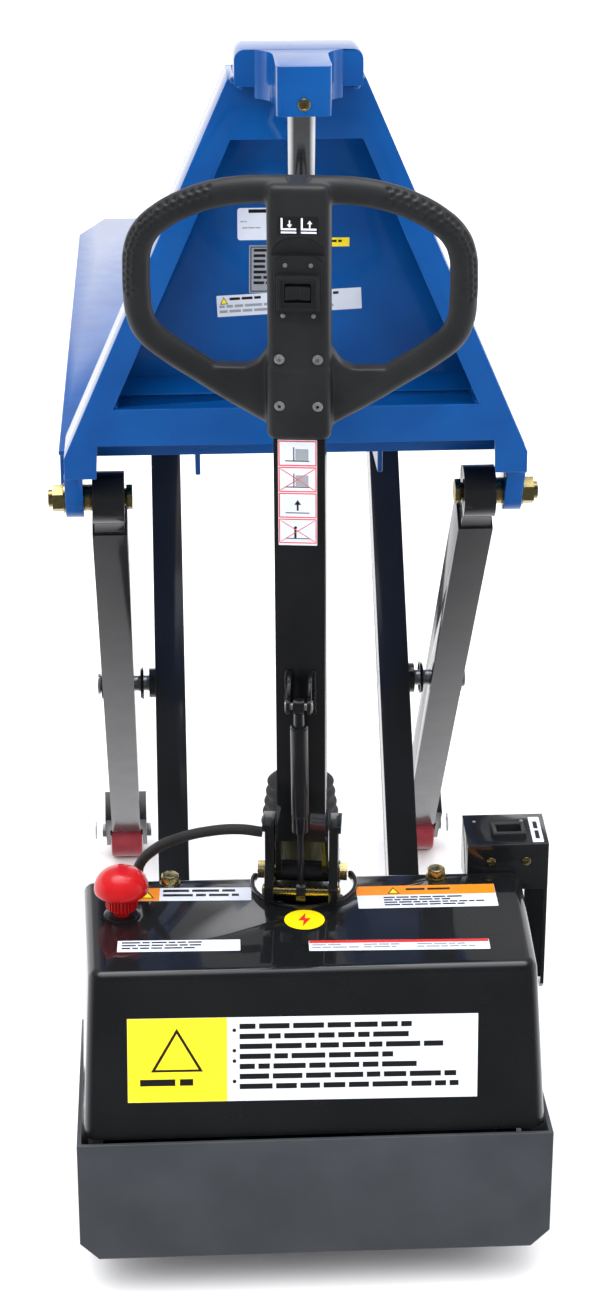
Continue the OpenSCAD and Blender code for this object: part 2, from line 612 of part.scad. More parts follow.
module crosshead_screw() at_machine() translate([0, -198, 1239]) rotate([-90, 0, 0]) color("#c3b26a")
    difference() {
        union() {
            cylinder(h = 37, r = 5);
            cylinder(h = 2, r = 6.5);
        }
        translate([0, 0, -1]) cylinder(h = 4, r = 3, $fn = 6);
    }
lug_t = 20;
lug_in = 238;
module pivot_lugs() at_machine() color("#1e5fb0") both_sides() difference() {
    rotate([90, 0, 90]) translate([0, 0, lug_in]) linear_extrude(lug_t) {
        translate([0, pivot_z]) circle(r = 22);
        polygon([[-22, pivot_z], [22, pivot_z], [mast_back, mast_foot[1] - 24], [-48, mast_foot[1] - 24]]);
    }
    translate([0, 0, pivot_z]) across(200, 300, pin_r);
}
module lug_bolts() at_machine() color("#c3b26a") both_sides() translate([0, 0, pivot_z]) {
    across(outer_x - 20, 278, pin_r);
    hex_across(outer_x - 27, outer_x - 20, 26);
    difference() { across(outer_x + 18 + gap, lug_in, 15); across(200, 300, pin_r - 1); }
}
module lug_nuts() at_machine() color("#c3b26a") both_sides() translate([0, 0, pivot_z])
    difference() {
        union() { across(lug_in + lug_t, 261, 17); hex_across(261, 273, 28); }
        across(250, 300, pin_r);
    }
module telescopic(r, z0, z1, bore) translate([0, ram_y, 0]) difference() {
    translate([0, 0, z0]) cylinder(h = z1 - z0, r = r);
    translate([0, 0, z0 + 6]) cylinder(h = z1 - z0, r = bore);
}
module lift_ram() at_machine() color("#d9dbdd")
    translate([0, ram_y, 0]) translate([0, 0, 226 + lift]) cylinder(h = nose_z + 35 - 226 - lift, r = sleeve_r[2]);
module sleeve_upper() at_machine() color("#c9cbcd")
    telescopic(sleeve_r[1], 219 + stage[1], 508 + stage[1], sleeve_r[2] + play);
module sleeve_lower() at_machine() color("#c9cbcd")
    telescopic(sleeve_r[0], 212 + stage[0], 504 + stage[0], sleeve_r[1] + play);

base_frame();
bumper_tray();
cover();
batteries();
pump_motor();
oil_tank();
cylinder_tube();
cylinder_boot();
cover_bolts();
stop_collar();
stop_button();
charger_box();
charger_socket();
charger_screws();
cable();
cable_gland();
base_pins();
steer_yoke();
steer_axle();
steer_tyre_left();
steer_tyre_right();
steer_hub_left();
steer_hub_right();
tiller_bracket();
tiller_pivot_bolt();
spring_pin();
tiller_tube();
handle_head();
handle_loop();
head_screws();
switch_panel();
lift_rocker();
spring_clevis();
gas_spring_tube();
gas_spring_rod();
inner_arm_left();
inner_arm_right();
inner_cross_tube();
mid_pins();
roller_axles();
fork_roller_left();
fork_roller_right();
outer_arm_left();
outer_arm_right();
load_axle_left();
load_axle_right();
load_wheel_left();
load_wheel_right();
left_fork();
right_fork();
mast_frame();
back_panel();
crosshead();
crosshead_screw();
pivot_lugs();
lug_bolts();
lug_nuts();
lift_ram();
sleeve_lower();
sleeve_upper();
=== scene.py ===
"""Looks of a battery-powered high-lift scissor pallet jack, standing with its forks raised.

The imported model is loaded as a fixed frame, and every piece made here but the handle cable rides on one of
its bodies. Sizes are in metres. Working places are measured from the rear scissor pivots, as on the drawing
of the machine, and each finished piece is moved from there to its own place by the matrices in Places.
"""

from __future__ import annotations

import json
import logging
import math
import random
import sys
from dataclasses import dataclass
from enum import Enum
from typing import Callable, Iterable, Sequence

import bmesh
import bpy
from mathutils import Matrix, Vector

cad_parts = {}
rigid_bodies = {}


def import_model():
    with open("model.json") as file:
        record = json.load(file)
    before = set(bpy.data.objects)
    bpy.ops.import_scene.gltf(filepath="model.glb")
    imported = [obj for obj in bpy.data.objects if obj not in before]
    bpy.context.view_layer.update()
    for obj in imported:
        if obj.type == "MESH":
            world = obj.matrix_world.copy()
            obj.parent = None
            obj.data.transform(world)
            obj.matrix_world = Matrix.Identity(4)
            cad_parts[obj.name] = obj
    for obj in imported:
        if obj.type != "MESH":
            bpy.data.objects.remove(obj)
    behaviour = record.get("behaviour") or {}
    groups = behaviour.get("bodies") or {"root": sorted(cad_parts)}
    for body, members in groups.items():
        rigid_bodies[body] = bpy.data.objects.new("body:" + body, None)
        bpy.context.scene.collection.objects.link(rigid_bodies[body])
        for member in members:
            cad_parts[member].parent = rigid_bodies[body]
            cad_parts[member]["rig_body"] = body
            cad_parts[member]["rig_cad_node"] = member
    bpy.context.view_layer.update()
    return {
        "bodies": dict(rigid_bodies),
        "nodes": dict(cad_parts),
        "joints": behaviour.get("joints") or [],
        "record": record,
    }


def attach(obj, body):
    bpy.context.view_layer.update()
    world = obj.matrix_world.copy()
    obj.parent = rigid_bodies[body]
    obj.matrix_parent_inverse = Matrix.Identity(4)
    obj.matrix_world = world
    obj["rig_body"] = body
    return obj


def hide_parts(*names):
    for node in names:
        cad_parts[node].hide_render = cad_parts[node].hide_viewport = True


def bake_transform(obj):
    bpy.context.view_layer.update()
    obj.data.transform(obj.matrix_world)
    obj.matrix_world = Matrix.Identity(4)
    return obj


LOG = logging.getLogger("pallet_jack")
Point = Sequence[float]
Colour = tuple[float, float, float]
TO_FRONT = Matrix.Rotation(math.pi / 2, 4, "X")  # turns a piece's upper end towards the operator
TO_RIGHT = Matrix.Rotation(math.pi / 2, 4, "Y")  # turns a piece's upper end to the right


# ---------------------------------------------------------------- places

PIVOT_Y = -0.346  # the rear scissor pivots, along the machine
STEER_Y = -0.213  # steering axis, from the pivots
RAM_Y = -0.145  # axis of the lift ram, from the pivots
STEER_REST = math.radians(-6.5)  # how far the steering is turned as the machine stands
TILLER_PIVOT = (-0.240, 0.403)
TILLER_LEAN = math.radians(5.5)
ARM_LENGTH = 0.934
OUTER_TOP = 0.758
INNER_FOOT = 0.038
ARM_ANGLE = math.asin((OUTER_TOP - INNER_FOOT) / ARM_LENGTH)


class Places:
    """The matrices that carry a piece from its working frame to its place on the machine."""

    machine = Matrix.Translation((0.0, PIVOT_Y, 0.0))
    steered = (
        machine
        @ Matrix.Translation((0.0, STEER_Y, 0.0))
        @ Matrix.Rotation(STEER_REST, 4, "Z")
        @ Matrix.Translation((0.0, -STEER_Y, 0.0))
    )
    tiller = steered @ Matrix.Translation((0.0, *TILLER_PIVOT)) @ Matrix.Rotation(TILLER_LEAN, 4, "X")
    outer_arm = machine @ Matrix.Translation((0.0, 0.0, OUTER_TOP)) @ Matrix.Rotation(-ARM_ANGLE, 4, "X")
    inner_arm = machine @ Matrix.Translation((0.0, 0.0, INNER_FOOT)) @ Matrix.Rotation(ARM_ANGLE, 4, "X")


# ---------------------------------------------------------------- finishes


def paint(red: int, green: int, blue: int) -> Colour:
    """Turn a colour chip's 0 to 255 values into linear light.

    Args:
        red: Red value of the chip.
        green: Green value of the chip.
        blue: Blue value of the chip.

    Returns:
        The colour in linear light.
    """

    def linear(value: int) -> float:
        """Linear light of one channel."""
        share = value / 255
        return share / 12.92 if share <= 0.04045 else ((share + 0.055) / 1.055) ** 2.4

    return linear(red), linear(green), linear(blue)


class Grain(Enum):
    """The fine texture that a finish has under the light."""

    ORANGE_PEEL = "orange peel"
    MOULDED = "moulded"
    GROUND = "ground"
    CAST = "cast"
    SHEET = "sheet"


@dataclass(frozen=True)
class Finish:
    """One surface finish, from which a node material is made.

    Attributes:
        name: Name of the material.
        slot: The record's material slot that it belongs to; not used.
        colour: Main colour, in linear light.
        tint: Colour of the cloudy patches in it.
        rough: Lowest and highest roughness over the surface.
        grain: Kind of fine texture.
        grain_size: Size of one grain.
        grain_depth: Height of the grain.
        metallic: Share of metal.
        coat: Share of clear coat.
        coat_rough: Roughness of the clear coat.
        edge: Colour of the painted highlight along sharp edges, or None.
        edge_highlight_share: How strongly the edge colour shows.
        patch: Size of the cloudy patches.
    """

    name: str
    slot: str
    colour: Colour
    tint: Colour
    rough: tuple[float, float]
    grain: Grain
    grain_size: float
    grain_depth: float
    metallic: float = 0.0
    coat: float = 0.0
    coat_rough: float = 0.05
    edge: Colour | None = None
    edge_highlight_share: float = 0.5
    patch: float = 0.08


# Each finish's edge colour is a painted highlight along its sharp edges.
BLUE = Finish("blue_gloss_paint", "blue_paint", paint(5, 79, 150), paint(3, 69, 137), (0.34, 0.46),
              Grain.ORANGE_PEEL, 0.005, 0.00006, coat=1.0, coat_rough=0.03, edge=paint(70, 130, 200))
BLACK = Finish("black_gloss_paint", "black_paint", paint(20, 21, 23), paint(14, 15, 17), (0.28, 0.40),
               Grain.ORANGE_PEEL, 0.005, 0.00005, coat=0.8, coat_rough=0.05, edge=paint(64, 66, 68))
ARM = Finish("arm_gloss_paint", "arm_paint", paint(26, 27, 30), paint(22, 23, 25), (0.34, 0.44),
             Grain.ORANGE_PEEL, 0.006, 0.00008, coat=1.0, coat_rough=0.10, edge=paint(92, 94, 96))
COVER = Finish("cover_gloss_black", "cover_plastic", paint(22, 23, 25), paint(18, 19, 21), (0.26, 0.34),
               Grain.ORANGE_PEEL, 0.014, 0.00002, coat=1.0, coat_rough=0.04, edge=paint(58, 60, 62))
TRAY = Finish("tray_satin_black", "black_paint", paint(62, 65, 70), paint(55, 58, 63), (0.34, 0.46),
              Grain.SHEET, 0.012, 0.00010, coat=0.6, coat_rough=0.16, edge=paint(86, 88, 90))
HANDLE = Finish("handle_matte_plastic", "handle_plastic", paint(34, 35, 37), paint(28, 29, 31), (0.40, 0.52),
                Grain.MOULDED, 0.0012, 0.00010, edge=paint(62, 63, 65), edge_highlight_share=0.25)
SWITCH = Finish("switch_satin_plastic", "switch_plastic", paint(30, 31, 33), paint(25, 26, 28), (0.30, 0.42),
                Grain.MOULDED, 0.0010, 0.00006, edge=paint(60, 61, 64), edge_highlight_share=0.3)
RED = Finish("stop_red_plastic", "red_plastic", paint(186, 18, 24), paint(172, 14, 20), (0.26, 0.36),
             Grain.MOULDED, 0.004, 0.00004, coat=0.7, coat_rough=0.08, edge=paint(235, 90, 90),
             edge_highlight_share=0.25)
GOLD = Finish("zinc_yellow_plate", "zinc_gold", paint(205, 184, 118), paint(176, 168, 128), (0.20, 0.36),
              Grain.GROUND, 0.0016, 0.00004, metallic=1.0, edge=paint(228, 222, 196), patch=0.006)
STEEL = Finish("bright_steel", "steel", paint(178, 180, 182), paint(150, 152, 156), (0.24, 0.40),
               Grain.GROUND, 0.0018, 0.00004, metallic=0.75, edge=paint(214, 216, 218), patch=0.02)
CHROME = Finish("ram_chrome", "chrome", paint(214, 216, 218), paint(196, 198, 200), (0.06, 0.14),
                Grain.GROUND, 0.0020, 0.00001, metallic=1.0, patch=0.03)
WHEEL = Finish("wheel_polyurethane", "wheel_red", paint(158, 46, 58), paint(136, 38, 50), (0.36, 0.50),
               Grain.MOULDED, 0.0016, 0.00008, edge=paint(186, 92, 100), edge_highlight_share=0.3, patch=0.02)
HUB = Finish("cast_hub", "cast_hub", paint(120, 122, 126), paint(98, 100, 104), (0.42, 0.60),
             Grain.CAST, 0.0022, 0.00020, metallic=0.9, edge=paint(176, 178, 180), patch=0.02)
RUBBER = Finish("black_rubber", "rubber", paint(38, 38, 39), paint(31, 31, 32), (0.52, 0.68),
                Grain.MOULDED, 0.0010, 0.00008, edge=paint(64, 64, 65), edge_highlight_share=0.3, patch=0.02)
BATTERY = Finish("battery_case", "battery_case", paint(52, 55, 60), paint(44, 46, 50), (0.44, 0.58),
                 Grain.MOULDED, 0.0016, 0.00010, edge=paint(86, 88, 92), edge_highlight_share=0.3)
OLIVE = Finish("cylinder_olive_paint", "black_paint", paint(74, 74, 52), paint(60, 60, 42), (0.30, 0.44),
               Grain.ORANGE_PEEL, 0.004, 0.00005, coat=0.6, coat_rough=0.08, edge=paint(120, 120, 96))
ALLOY = Finish("tank_alloy", "steel", paint(150, 154, 158), paint(132, 136, 140), (0.34, 0.50),
               Grain.SHEET, 0.004, 0.00006, metallic=0.9, edge=paint(196, 198, 200))


def print_ink(name: str, colour: Colour, gloss: float = 0.32) -> Finish:
    """A printed film's finish.

    Args:
        name: Name of the ink.
        colour: Its colour, in linear light.
        gloss: Its lowest roughness.

    Returns:
        The finish.
    """
    shade = tuple(0.93 * part for part in colour)
    return Finish(f"film_{name}", "switch_plastic", colour, shade, (gloss, gloss + 0.1), Grain.SHEET, 0.004,
                  0.00001, patch=0.03)


WHITE_FILM = print_ink("white", paint(222, 228, 242))
PALE_FILM = print_ink("pale", paint(206, 212, 224))
YELLOW_FILM = print_ink("yellow", paint(250, 224, 18))
ORANGE_FILM = print_ink("orange", paint(236, 138, 22))
RED_FILM = print_ink("red", paint(214, 44, 40))
BLACK_FILM = print_ink("black", paint(26, 25, 24))
GREY_FILM = print_ink("grey", paint(142, 148, 156))


class FinishShop:
    """Makes each finish's node material once and hands it out."""

    def __init__(self) -> None:
        """Start with no materials made."""
        self.made: dict[str, bpy.types.Material] = {}

    def material(self, finish: Finish) -> bpy.types.Material:
        """The material of a finish, made on first use."""
        if finish.name not in self.made:
            self.made[finish.name] = self._build(finish)
        return self.made[finish.name]

    def _build(self, finish: Finish) -> bpy.types.Material:
        """Build a finish's nodes.

        Args:
            finish: The finish to build.

        Returns:
            The new material.
        """
        material = bpy.data.materials.new(finish.name)
        material.use_nodes = True
        tree = material.node_tree
        shader = tree.nodes["Principled BSDF"]
        shader.inputs["Metallic"].default_value = finish.metallic
        shader.inputs["Coat Weight"].default_value = finish.coat
        shader.inputs["Coat Roughness"].default_value = finish.coat_rough
        shader.inputs["Specular IOR Level"].default_value = 0.5 - 0.4 * min(1.0, finish.coat)
        place = tree.nodes.new("ShaderNodeTexCoord").outputs["Object"]
        clouds = self._noise(tree, place, 1 / finish.patch, 3.0)
        colour = self._mix(tree, self._range(tree, clouds, 0.35, 0.65, 0.0, 1.0), finish.colour, finish.tint)
        # Lighter colour along sharp edges is a painted edge highlight.
        if finish.edge is not None:
            colour = self._paint_edge_highlight(tree, place, colour, finish)
        tree.links.new(colour, shader.inputs["Base Color"])
        smears = self._noise(tree, place, 2.4 / finish.patch, 5.0)
        tree.links.new(self._range(tree, smears, 0.3, 0.7, *finish.rough), shader.inputs["Roughness"])
        bump = tree.nodes.new("ShaderNodeBump")
        bump.inputs["Distance"].default_value = finish.grain_depth
        tree.links.new(self._grain(tree, place, finish), bump.inputs["Height"])
        tree.links.new(bump.outputs["Normal"], shader.inputs["Normal"])
        return material

    def _noise(self, tree: bpy.types.NodeTree, place: bpy.types.NodeSocket, scale: float,
               detail: float) -> bpy.types.NodeSocket:
        """A noise pattern at a place.

        Args:
            tree: The material's nodes.
            place: Coordinates to read.
            scale: Patches per metre.
            detail: Layers of finer noise.

        Returns:
            The pattern's grey value.
        """
        node = tree.nodes.new("ShaderNodeTexNoise")
        node.inputs["Scale"].default_value = scale
        node.inputs["Detail"].default_value = detail
        tree.links.new(place, node.inputs["Vector"])
        return node.outputs["Fac"]

    def _range(self, tree: bpy.types.NodeTree, value: bpy.types.NodeSocket, low: float, high: float,
               to_low: float, to_high: float) -> bpy.types.NodeSocket:
        """Stretch a grey value from one range to another.

        Args:
            tree: The material's nodes.
            value: The value to stretch.
            low: Where the old range starts.
            high: Where the old range ends.
            to_low: Where the new range starts.
            to_high: Where the new range ends.

        Returns:
            The stretched value.
        """
        node = tree.nodes.new("ShaderNodeMapRange")
        for name, number in (("From Min", low), ("From Max", high), ("To Min", to_low), ("To Max", to_high)):
            node.inputs[name].default_value = number
        tree.links.new(value, node.inputs["Value"])
        return node.outputs["Result"]

    def _mix(self, tree: bpy.types.NodeTree, share: bpy.types.NodeSocket,
             first: Colour | bpy.types.NodeSocket, second: Colour) -> bpy.types.NodeSocket:
        """Mix two colours by a grey value.

        Args:
            tree: The material's nodes.
            share: How much of the second colour shows.
            first: The first colour, or where it comes from.
            second: The second colour.

        Returns:
            The mixed colour.
        """
        node = tree.nodes.new("ShaderNodeMix")
        node.data_type = "RGBA"
        tree.links.new(share, node.inputs["Factor"])
        if isinstance(first, bpy.types.NodeSocket):
            tree.links.new(first, node.inputs[6])
        else:
            node.inputs[6].default_value = (*first, 1.0)
        node.inputs[7].default_value = (*second, 1.0)
        return node.outputs[2]

    def _paint_edge_highlight(self, tree: bpy.types.NodeTree, place: bpy.types.NodeSocket, colour: bpy.types.NodeSocket,
              finish: Finish) -> bpy.types.NodeSocket:
        """Paint a highlight in the edge colour where the surface turns sharply.

        Args:
            tree: The material's nodes.
            place: Coordinates to read.
            colour: The colour of the flat stretches.
            finish: The finish being built.

        Returns:
            The colour with its painted edge highlight.
        """
        # Sharp edges get a painted highlight in the edge colour, broken up by fine noise.
        rounded = tree.nodes.new("ShaderNodeBevel")
        rounded.samples = 4
        rounded.inputs["Radius"].default_value = 0.0012
        flat = tree.nodes.new("ShaderNodeNewGeometry")
        turn = tree.nodes.new("ShaderNodeVectorMath")
        turn.operation = "DOT_PRODUCT"
        tree.links.new(rounded.outputs["Normal"], turn.inputs[0])
        tree.links.new(flat.outputs["Normal"], turn.inputs[1])
        edge = self._range(tree, turn.outputs["Value"], 0.995, 0.90, 0.0, finish.edge_highlight_share)
        broken = self._range(tree, self._noise(tree, place, 260.0, 2.0), 0.35, 0.65, 0.2, 1.0)
        both = tree.nodes.new("ShaderNodeMath")
        both.operation = "MULTIPLY"
        tree.links.new(edge, both.inputs[0])
        tree.links.new(broken, both.inputs[1])
        return self._mix(tree, both.outputs["Value"], colour, finish.edge)

    def _grain(self, tree: bpy.types.NodeTree, place: bpy.types.NodeSocket,
               finish: Finish) -> bpy.types.NodeSocket:
        """The height pattern of a finish's grain.

        Args:
            tree: The material's nodes.
            place: Coordinates to read.
            finish: The finish being built.

        Returns:
            The height.
        """
        scale = 1 / finish.grain_size
        if finish.grain is Grain.GROUND:
            stretched = tree.nodes.new("ShaderNodeMapping")
            stretched.inputs["Scale"].default_value = (0.12, 1.0, 1.0)
            tree.links.new(place, stretched.inputs["Vector"])
            return self._noise(tree, stretched.outputs["Vector"], scale, 4.0)
        if finish.grain in (Grain.MOULDED, Grain.CAST):
            cells = tree.nodes.new("ShaderNodeTexVoronoi")
            cells.inputs["Scale"].default_value = scale
            tree.links.new(place, cells.inputs["Vector"])
            return cells.outputs["Distance"]
        return self._noise(tree, place, scale, 1.0)


SHOP = FinishShop()


# ---------------------------------------------------------------- bench tools


def only(piece: bpy.types.Object) -> None:
    """Select this object and nothing else."""
    bpy.ops.object.select_all(action="DESELECT")
    piece.select_set(True)
    bpy.context.view_layer.objects.active = piece


class Editing:
    """Edit mode on one object, with everything selected at the start."""

    def __init__(self, piece: bpy.types.Object) -> None:
        """Remember the object."""
        self.piece = piece

    def __enter__(self) -> "Editing":
        """Enter edit mode."""
        only(self.piece)
        bpy.ops.object.mode_set(mode="EDIT")
        bpy.ops.mesh.select_all(action="SELECT")
        return self

    def __exit__(self, *problem: object) -> None:
        """Leave edit mode."""
        bpy.ops.object.mode_set(mode="OBJECT")

    def pick(self, kind: str, test: Callable[[Vector, Vector], bool]) -> int:
        """Select faces, edges or vertices by their place and normal.

        Args:
            kind: FACE, EDGE or VERT.
            test: Takes the element's middle and its normal, or an edge's direction, and says whether it is
                picked.

        Returns:
            How many were picked.
        """
        bpy.ops.mesh.select_mode(type=kind)
        bpy.ops.mesh.select_all(action="DESELECT")
        mesh = bmesh.from_edit_mesh(self.piece.data)
        mesh.normal_update()
        count = 0
        if kind == "FACE":
            found = [(face, face.calc_center_median(), face.normal) for face in mesh.faces]
        elif kind == "EDGE":
            found = [(edge, (edge.verts[0].co + edge.verts[1].co) / 2,
                      (edge.verts[1].co - edge.verts[0].co).normalized()) for edge in mesh.edges]
        else:
            found = [(vertex, vertex.co, vertex.normal) for vertex in mesh.verts]
        for element, middle, direction in found:
            if test(middle, direction):
                element.select_set(True)
                count += 1
        mesh.select_flush_mode()
        bmesh.update_edit_mesh(self.piece.data)
        return count


def block(name: str, low: Point, high: Point) -> bpy.types.Object:
    """A box between two corners.

    Args:
        name: Name of the piece.
        low: Its lowest corner.
        high: Its highest corner.

    Returns:
        The box, with its size and place in its mesh.
    """
    size = [high[i] - low[i] for i in range(3)]
    bpy.ops.object.select_all(action="DESELECT")
    bpy.ops.mesh.primitive_cube_add(size=1, location=[(low[i] + high[i]) / 2 for i in range(3)], scale=size)
    piece = bpy.context.object
    piece.name = name
    bpy.ops.object.transform_apply(location=True, rotation=True, scale=True)
    return piece


def rod(name: str, start: Point, end: Point, radius: float, sides: int = 40) -> bpy.types.Object:
    """A round bar.

    Args:
        name: Name of the piece.
        start: Middle of its first end.
        end: Middle of its other end.
        radius: Its radius.
        sides: Sides around it.

    Returns:
        The bar.
    """
    first, last = Vector(start), Vector(end)
    run = last - first
    bpy.ops.object.select_all(action="DESELECT")
    bpy.ops.mesh.primitive_cone_add(vertices=sides, radius1=radius, radius2=radius, depth=run.length)
    piece = bpy.context.object
    piece.name = name
    turn = run.to_track_quat("Z", "Y").to_matrix().to_4x4()
    piece.matrix_world = Matrix.Translation((first + last) / 2) @ turn
    bpy.ops.object.transform_apply(location=True, rotation=True, scale=True)
    return piece


def chain(name: str, points: Sequence[Point], closed: bool = True) -> bpy.types.Object:
    """A line of edges drawn leg by leg, filled to a face where it is closed.

    Args:
        name: Name of the piece.
        points: Corners of the line.
        closed: Whether to close and fill it.

    Returns:
        The flat outline.
    """
    bpy.ops.object.select_all(action="DESELECT")
    bpy.ops.mesh.primitive_plane_add(size=0.001, location=points[0])
    piece = bpy.context.object
    piece.name = name
    bpy.ops.object.transform_apply(location=True, rotation=True, scale=True)
    with Editing(piece):
        bpy.ops.mesh.select_mode(type="VERT")
        bpy.ops.mesh.merge(type="CENTER")
        for here, there in zip(points, points[1:]):
            leg = [there[i] - here[i] for i in range(3)]
            bpy.ops.mesh.extrude_vertices_move(TRANSFORM_OT_translate={"value": leg})
        bpy.ops.mesh.select_all(action="SELECT")
        if closed:
            bpy.ops.mesh.edge_face_add()
    return piece


def plate(name: str, points: Sequence[Point], thickness: Point) -> bpy.types.Object:
    """A flat outline given a thickness.

    Args:
        name: Name of the piece.
        points: Corners of the outline.
        thickness: How far and which way it is extruded.

    Returns:
        The closed plate.
    """
    piece = chain(name, points)
    with Editing(piece):
        bpy.ops.mesh.extrude_region_move(TRANSFORM_OT_translate={"value": list(thickness)})
        bpy.ops.mesh.select_all(action="SELECT")
        bpy.ops.mesh.normals_make_consistent(inside=False)
    return piece


def lathe(name: str, profile: Sequence[tuple[float, float]], centre: Point = (0.0, 0.0, 0.0),
          steps: int = 48, looped: bool = False) -> bpy.types.Object:
    """A profile turned about an upright axis.

    Args:
        name: Name of the piece.
        profile: Radius and height of each corner of the profile.
        centre: A point of the axis, from which the profile is measured.
        steps: Steps around the axis.
        looped: Whether the profile closes on itself, as a ring's does.

    Returns:
        The closed turned piece.
    """
    points = [(centre[0] + r, centre[1], centre[2] + z) for r, z in profile]
    if looped:
        points.append(points[0])
    piece = chain(name, points, closed=False)
    with Editing(piece):
        bpy.ops.mesh.spin(steps=steps, angle=2 * math.pi, center=centre, axis=(0, 0, 1))
        bpy.ops.mesh.select_all(action="SELECT")
        bpy.ops.mesh.remove_doubles(threshold=0.000005)
        bpy.ops.mesh.normals_make_consistent(inside=False)
    return piece


def use(piece: bpy.types.Object, kind: str, **settings: object) -> None:
    """Add a modifier to a piece and apply it.

    Args:
        piece: The piece.
        kind: The modifier's type.
        **settings: Its settings by name.
    """
    only(piece)
    modifier = piece.modifiers.new(kind.lower(), kind)
    for name, value in settings.items():
        setattr(modifier, name, value)
    bpy.ops.object.modifier_apply(modifier=modifier.name)


def soften(piece: bpy.types.Object, width: float, segments: int = 2, angle: float = 30.0) -> None:
    """Round the sharp edges of a piece."""
    use(piece, "BEVEL", width=width, segments=segments, limit_method="ANGLE", angle_limit=math.radians(angle),
        harden_normals=False, use_clamp_overlap=True)


def carve(piece: bpy.types.Object, cutter: bpy.types.Object, operation: str = "DIFFERENCE") -> None:
    """Cut one piece with another, which is then thrown away.

    Args:
        piece: The piece that stays.
        cutter: The piece that cuts it.
        operation: DIFFERENCE, UNION or INTERSECT.
    """
    use(piece, "BOOLEAN", object=cutter, operation=operation, solver="EXACT")
    bpy.data.objects.remove(cutter, do_unlink=True)


def smooth(piece: bpy.types.Object, angle: float = 32.0) -> None:
    """Shade a piece smoothly, but for its sharp edges."""
    only(piece)
    bpy.ops.object.shade_smooth_by_angle(angle=math.radians(angle))


def copied(piece: bpy.types.Object, name: str, move: Matrix) -> bpy.types.Object:
    """A copy of a piece with its own mesh, moved by a matrix.

    Args:
        piece: The piece to copy.
        name: Name of the copy.
        move: Where the copy goes.

    Returns:
        The copy, with its place in its mesh.
    """
    only(piece)
    bpy.ops.object.duplicate(linked=False)
    twin = bpy.context.object
    twin.name = name
    twin.matrix_world = move @ twin.matrix_world
    bpy.ops.object.transform_apply(location=True, rotation=True, scale=True)
    if move.determinant() < 0:
        with Editing(twin):
            bpy.ops.mesh.normals_make_consistent(inside=False)
    return twin


def joined(name: str, pieces: Sequence[bpy.types.Object]) -> bpy.types.Object:
    """Join several pieces into one object.

    Args:
        name: Name of the result.
        pieces: The pieces, the first of which stays.

    Returns:
        The joined object.
    """
    only(pieces[0])
    for piece in pieces[1:]:
        piece.select_set(True)
    if len(pieces) > 1:
        bpy.ops.object.join()
    pieces[0].name = name
    return pieces[0]


def dress(piece: bpy.types.Object, finish: Finish) -> bpy.types.Object:
    """Give a whole piece one finish."""
    piece.data.materials.clear()
    piece.data.materials.append(SHOP.material(finish))
    return piece


def settle(piece: bpy.types.Object, body: str, place: Matrix,
           stands_for: Iterable[str] = ()) -> bpy.types.Object:
    """Move a finished piece to its place on the machine and let it ride on a body.

    Args:
        piece: The finished piece, in its working frame.
        body: The body it rides on.
        place: The working frame's place.
        stands_for: CAD nodes that it replaces.

    Returns:
        The piece.
    """
    only(piece)
    piece.matrix_world = place @ piece.matrix_world
    bpy.ops.object.transform_apply(location=True, rotation=True, scale=True)
    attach(piece, body)
    if stands_for:
        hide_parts(*stands_for)
    LOG.info("%s rides on %s, %d faces", piece.name, body, len(piece.data.polygons))
    return piece


def spread(name: str, piece: bpy.types.Object, moves: Iterable[Matrix]) -> bpy.types.Object:
    """Copy a piece to several places, join the copies and throw the piece itself away.

    Args:
        name: Name of the joined copies.
        piece: The piece to copy.
        moves: Where the copies go.

    Returns:
        The joined copies.
    """
    copies = [copied(piece, f"{name}_copy", move) for move in moves]
    bpy.data.objects.remove(piece, do_unlink=True)
    return joined(name, copies)


def complete(piece: bpy.types.Object, finish: Finish, body: str, place: Matrix,
             stands_for: Iterable[str] = (), angle: float = 32.0) -> bpy.types.Object:
    """Shade a piece smoothly, give it its finish and settle it on its body.

    Args:
        piece: The finished shape, in its working frame.
        finish: Its finish.
        body: The body it rides on.
        place: The working frame's place.
        stands_for: CAD nodes that it replaces.
        angle: Edges sharper than this stay sharp, in degrees.

    Returns:
        The piece.
    """
    smooth(piece, angle)
    dress(piece, finish)
    return settle(piece, body, place, stands_for)


# ---------------------------------------------------------------- studio

WALL_GREYS = ((0.0, 1.0), (0.34, 1.0), (0.43, 0.28), (0.84, 0.32), (0.95, 4.0))  # height and brightness
WALL_DEPTH = (("From Min", -0.45), ("From Max", 0.25), ("To Min", 0.12), ("To Max", 1.2))  # front to back
FLOOR_COLOUR = (0.93, 0.93, 0.94, 1.0)


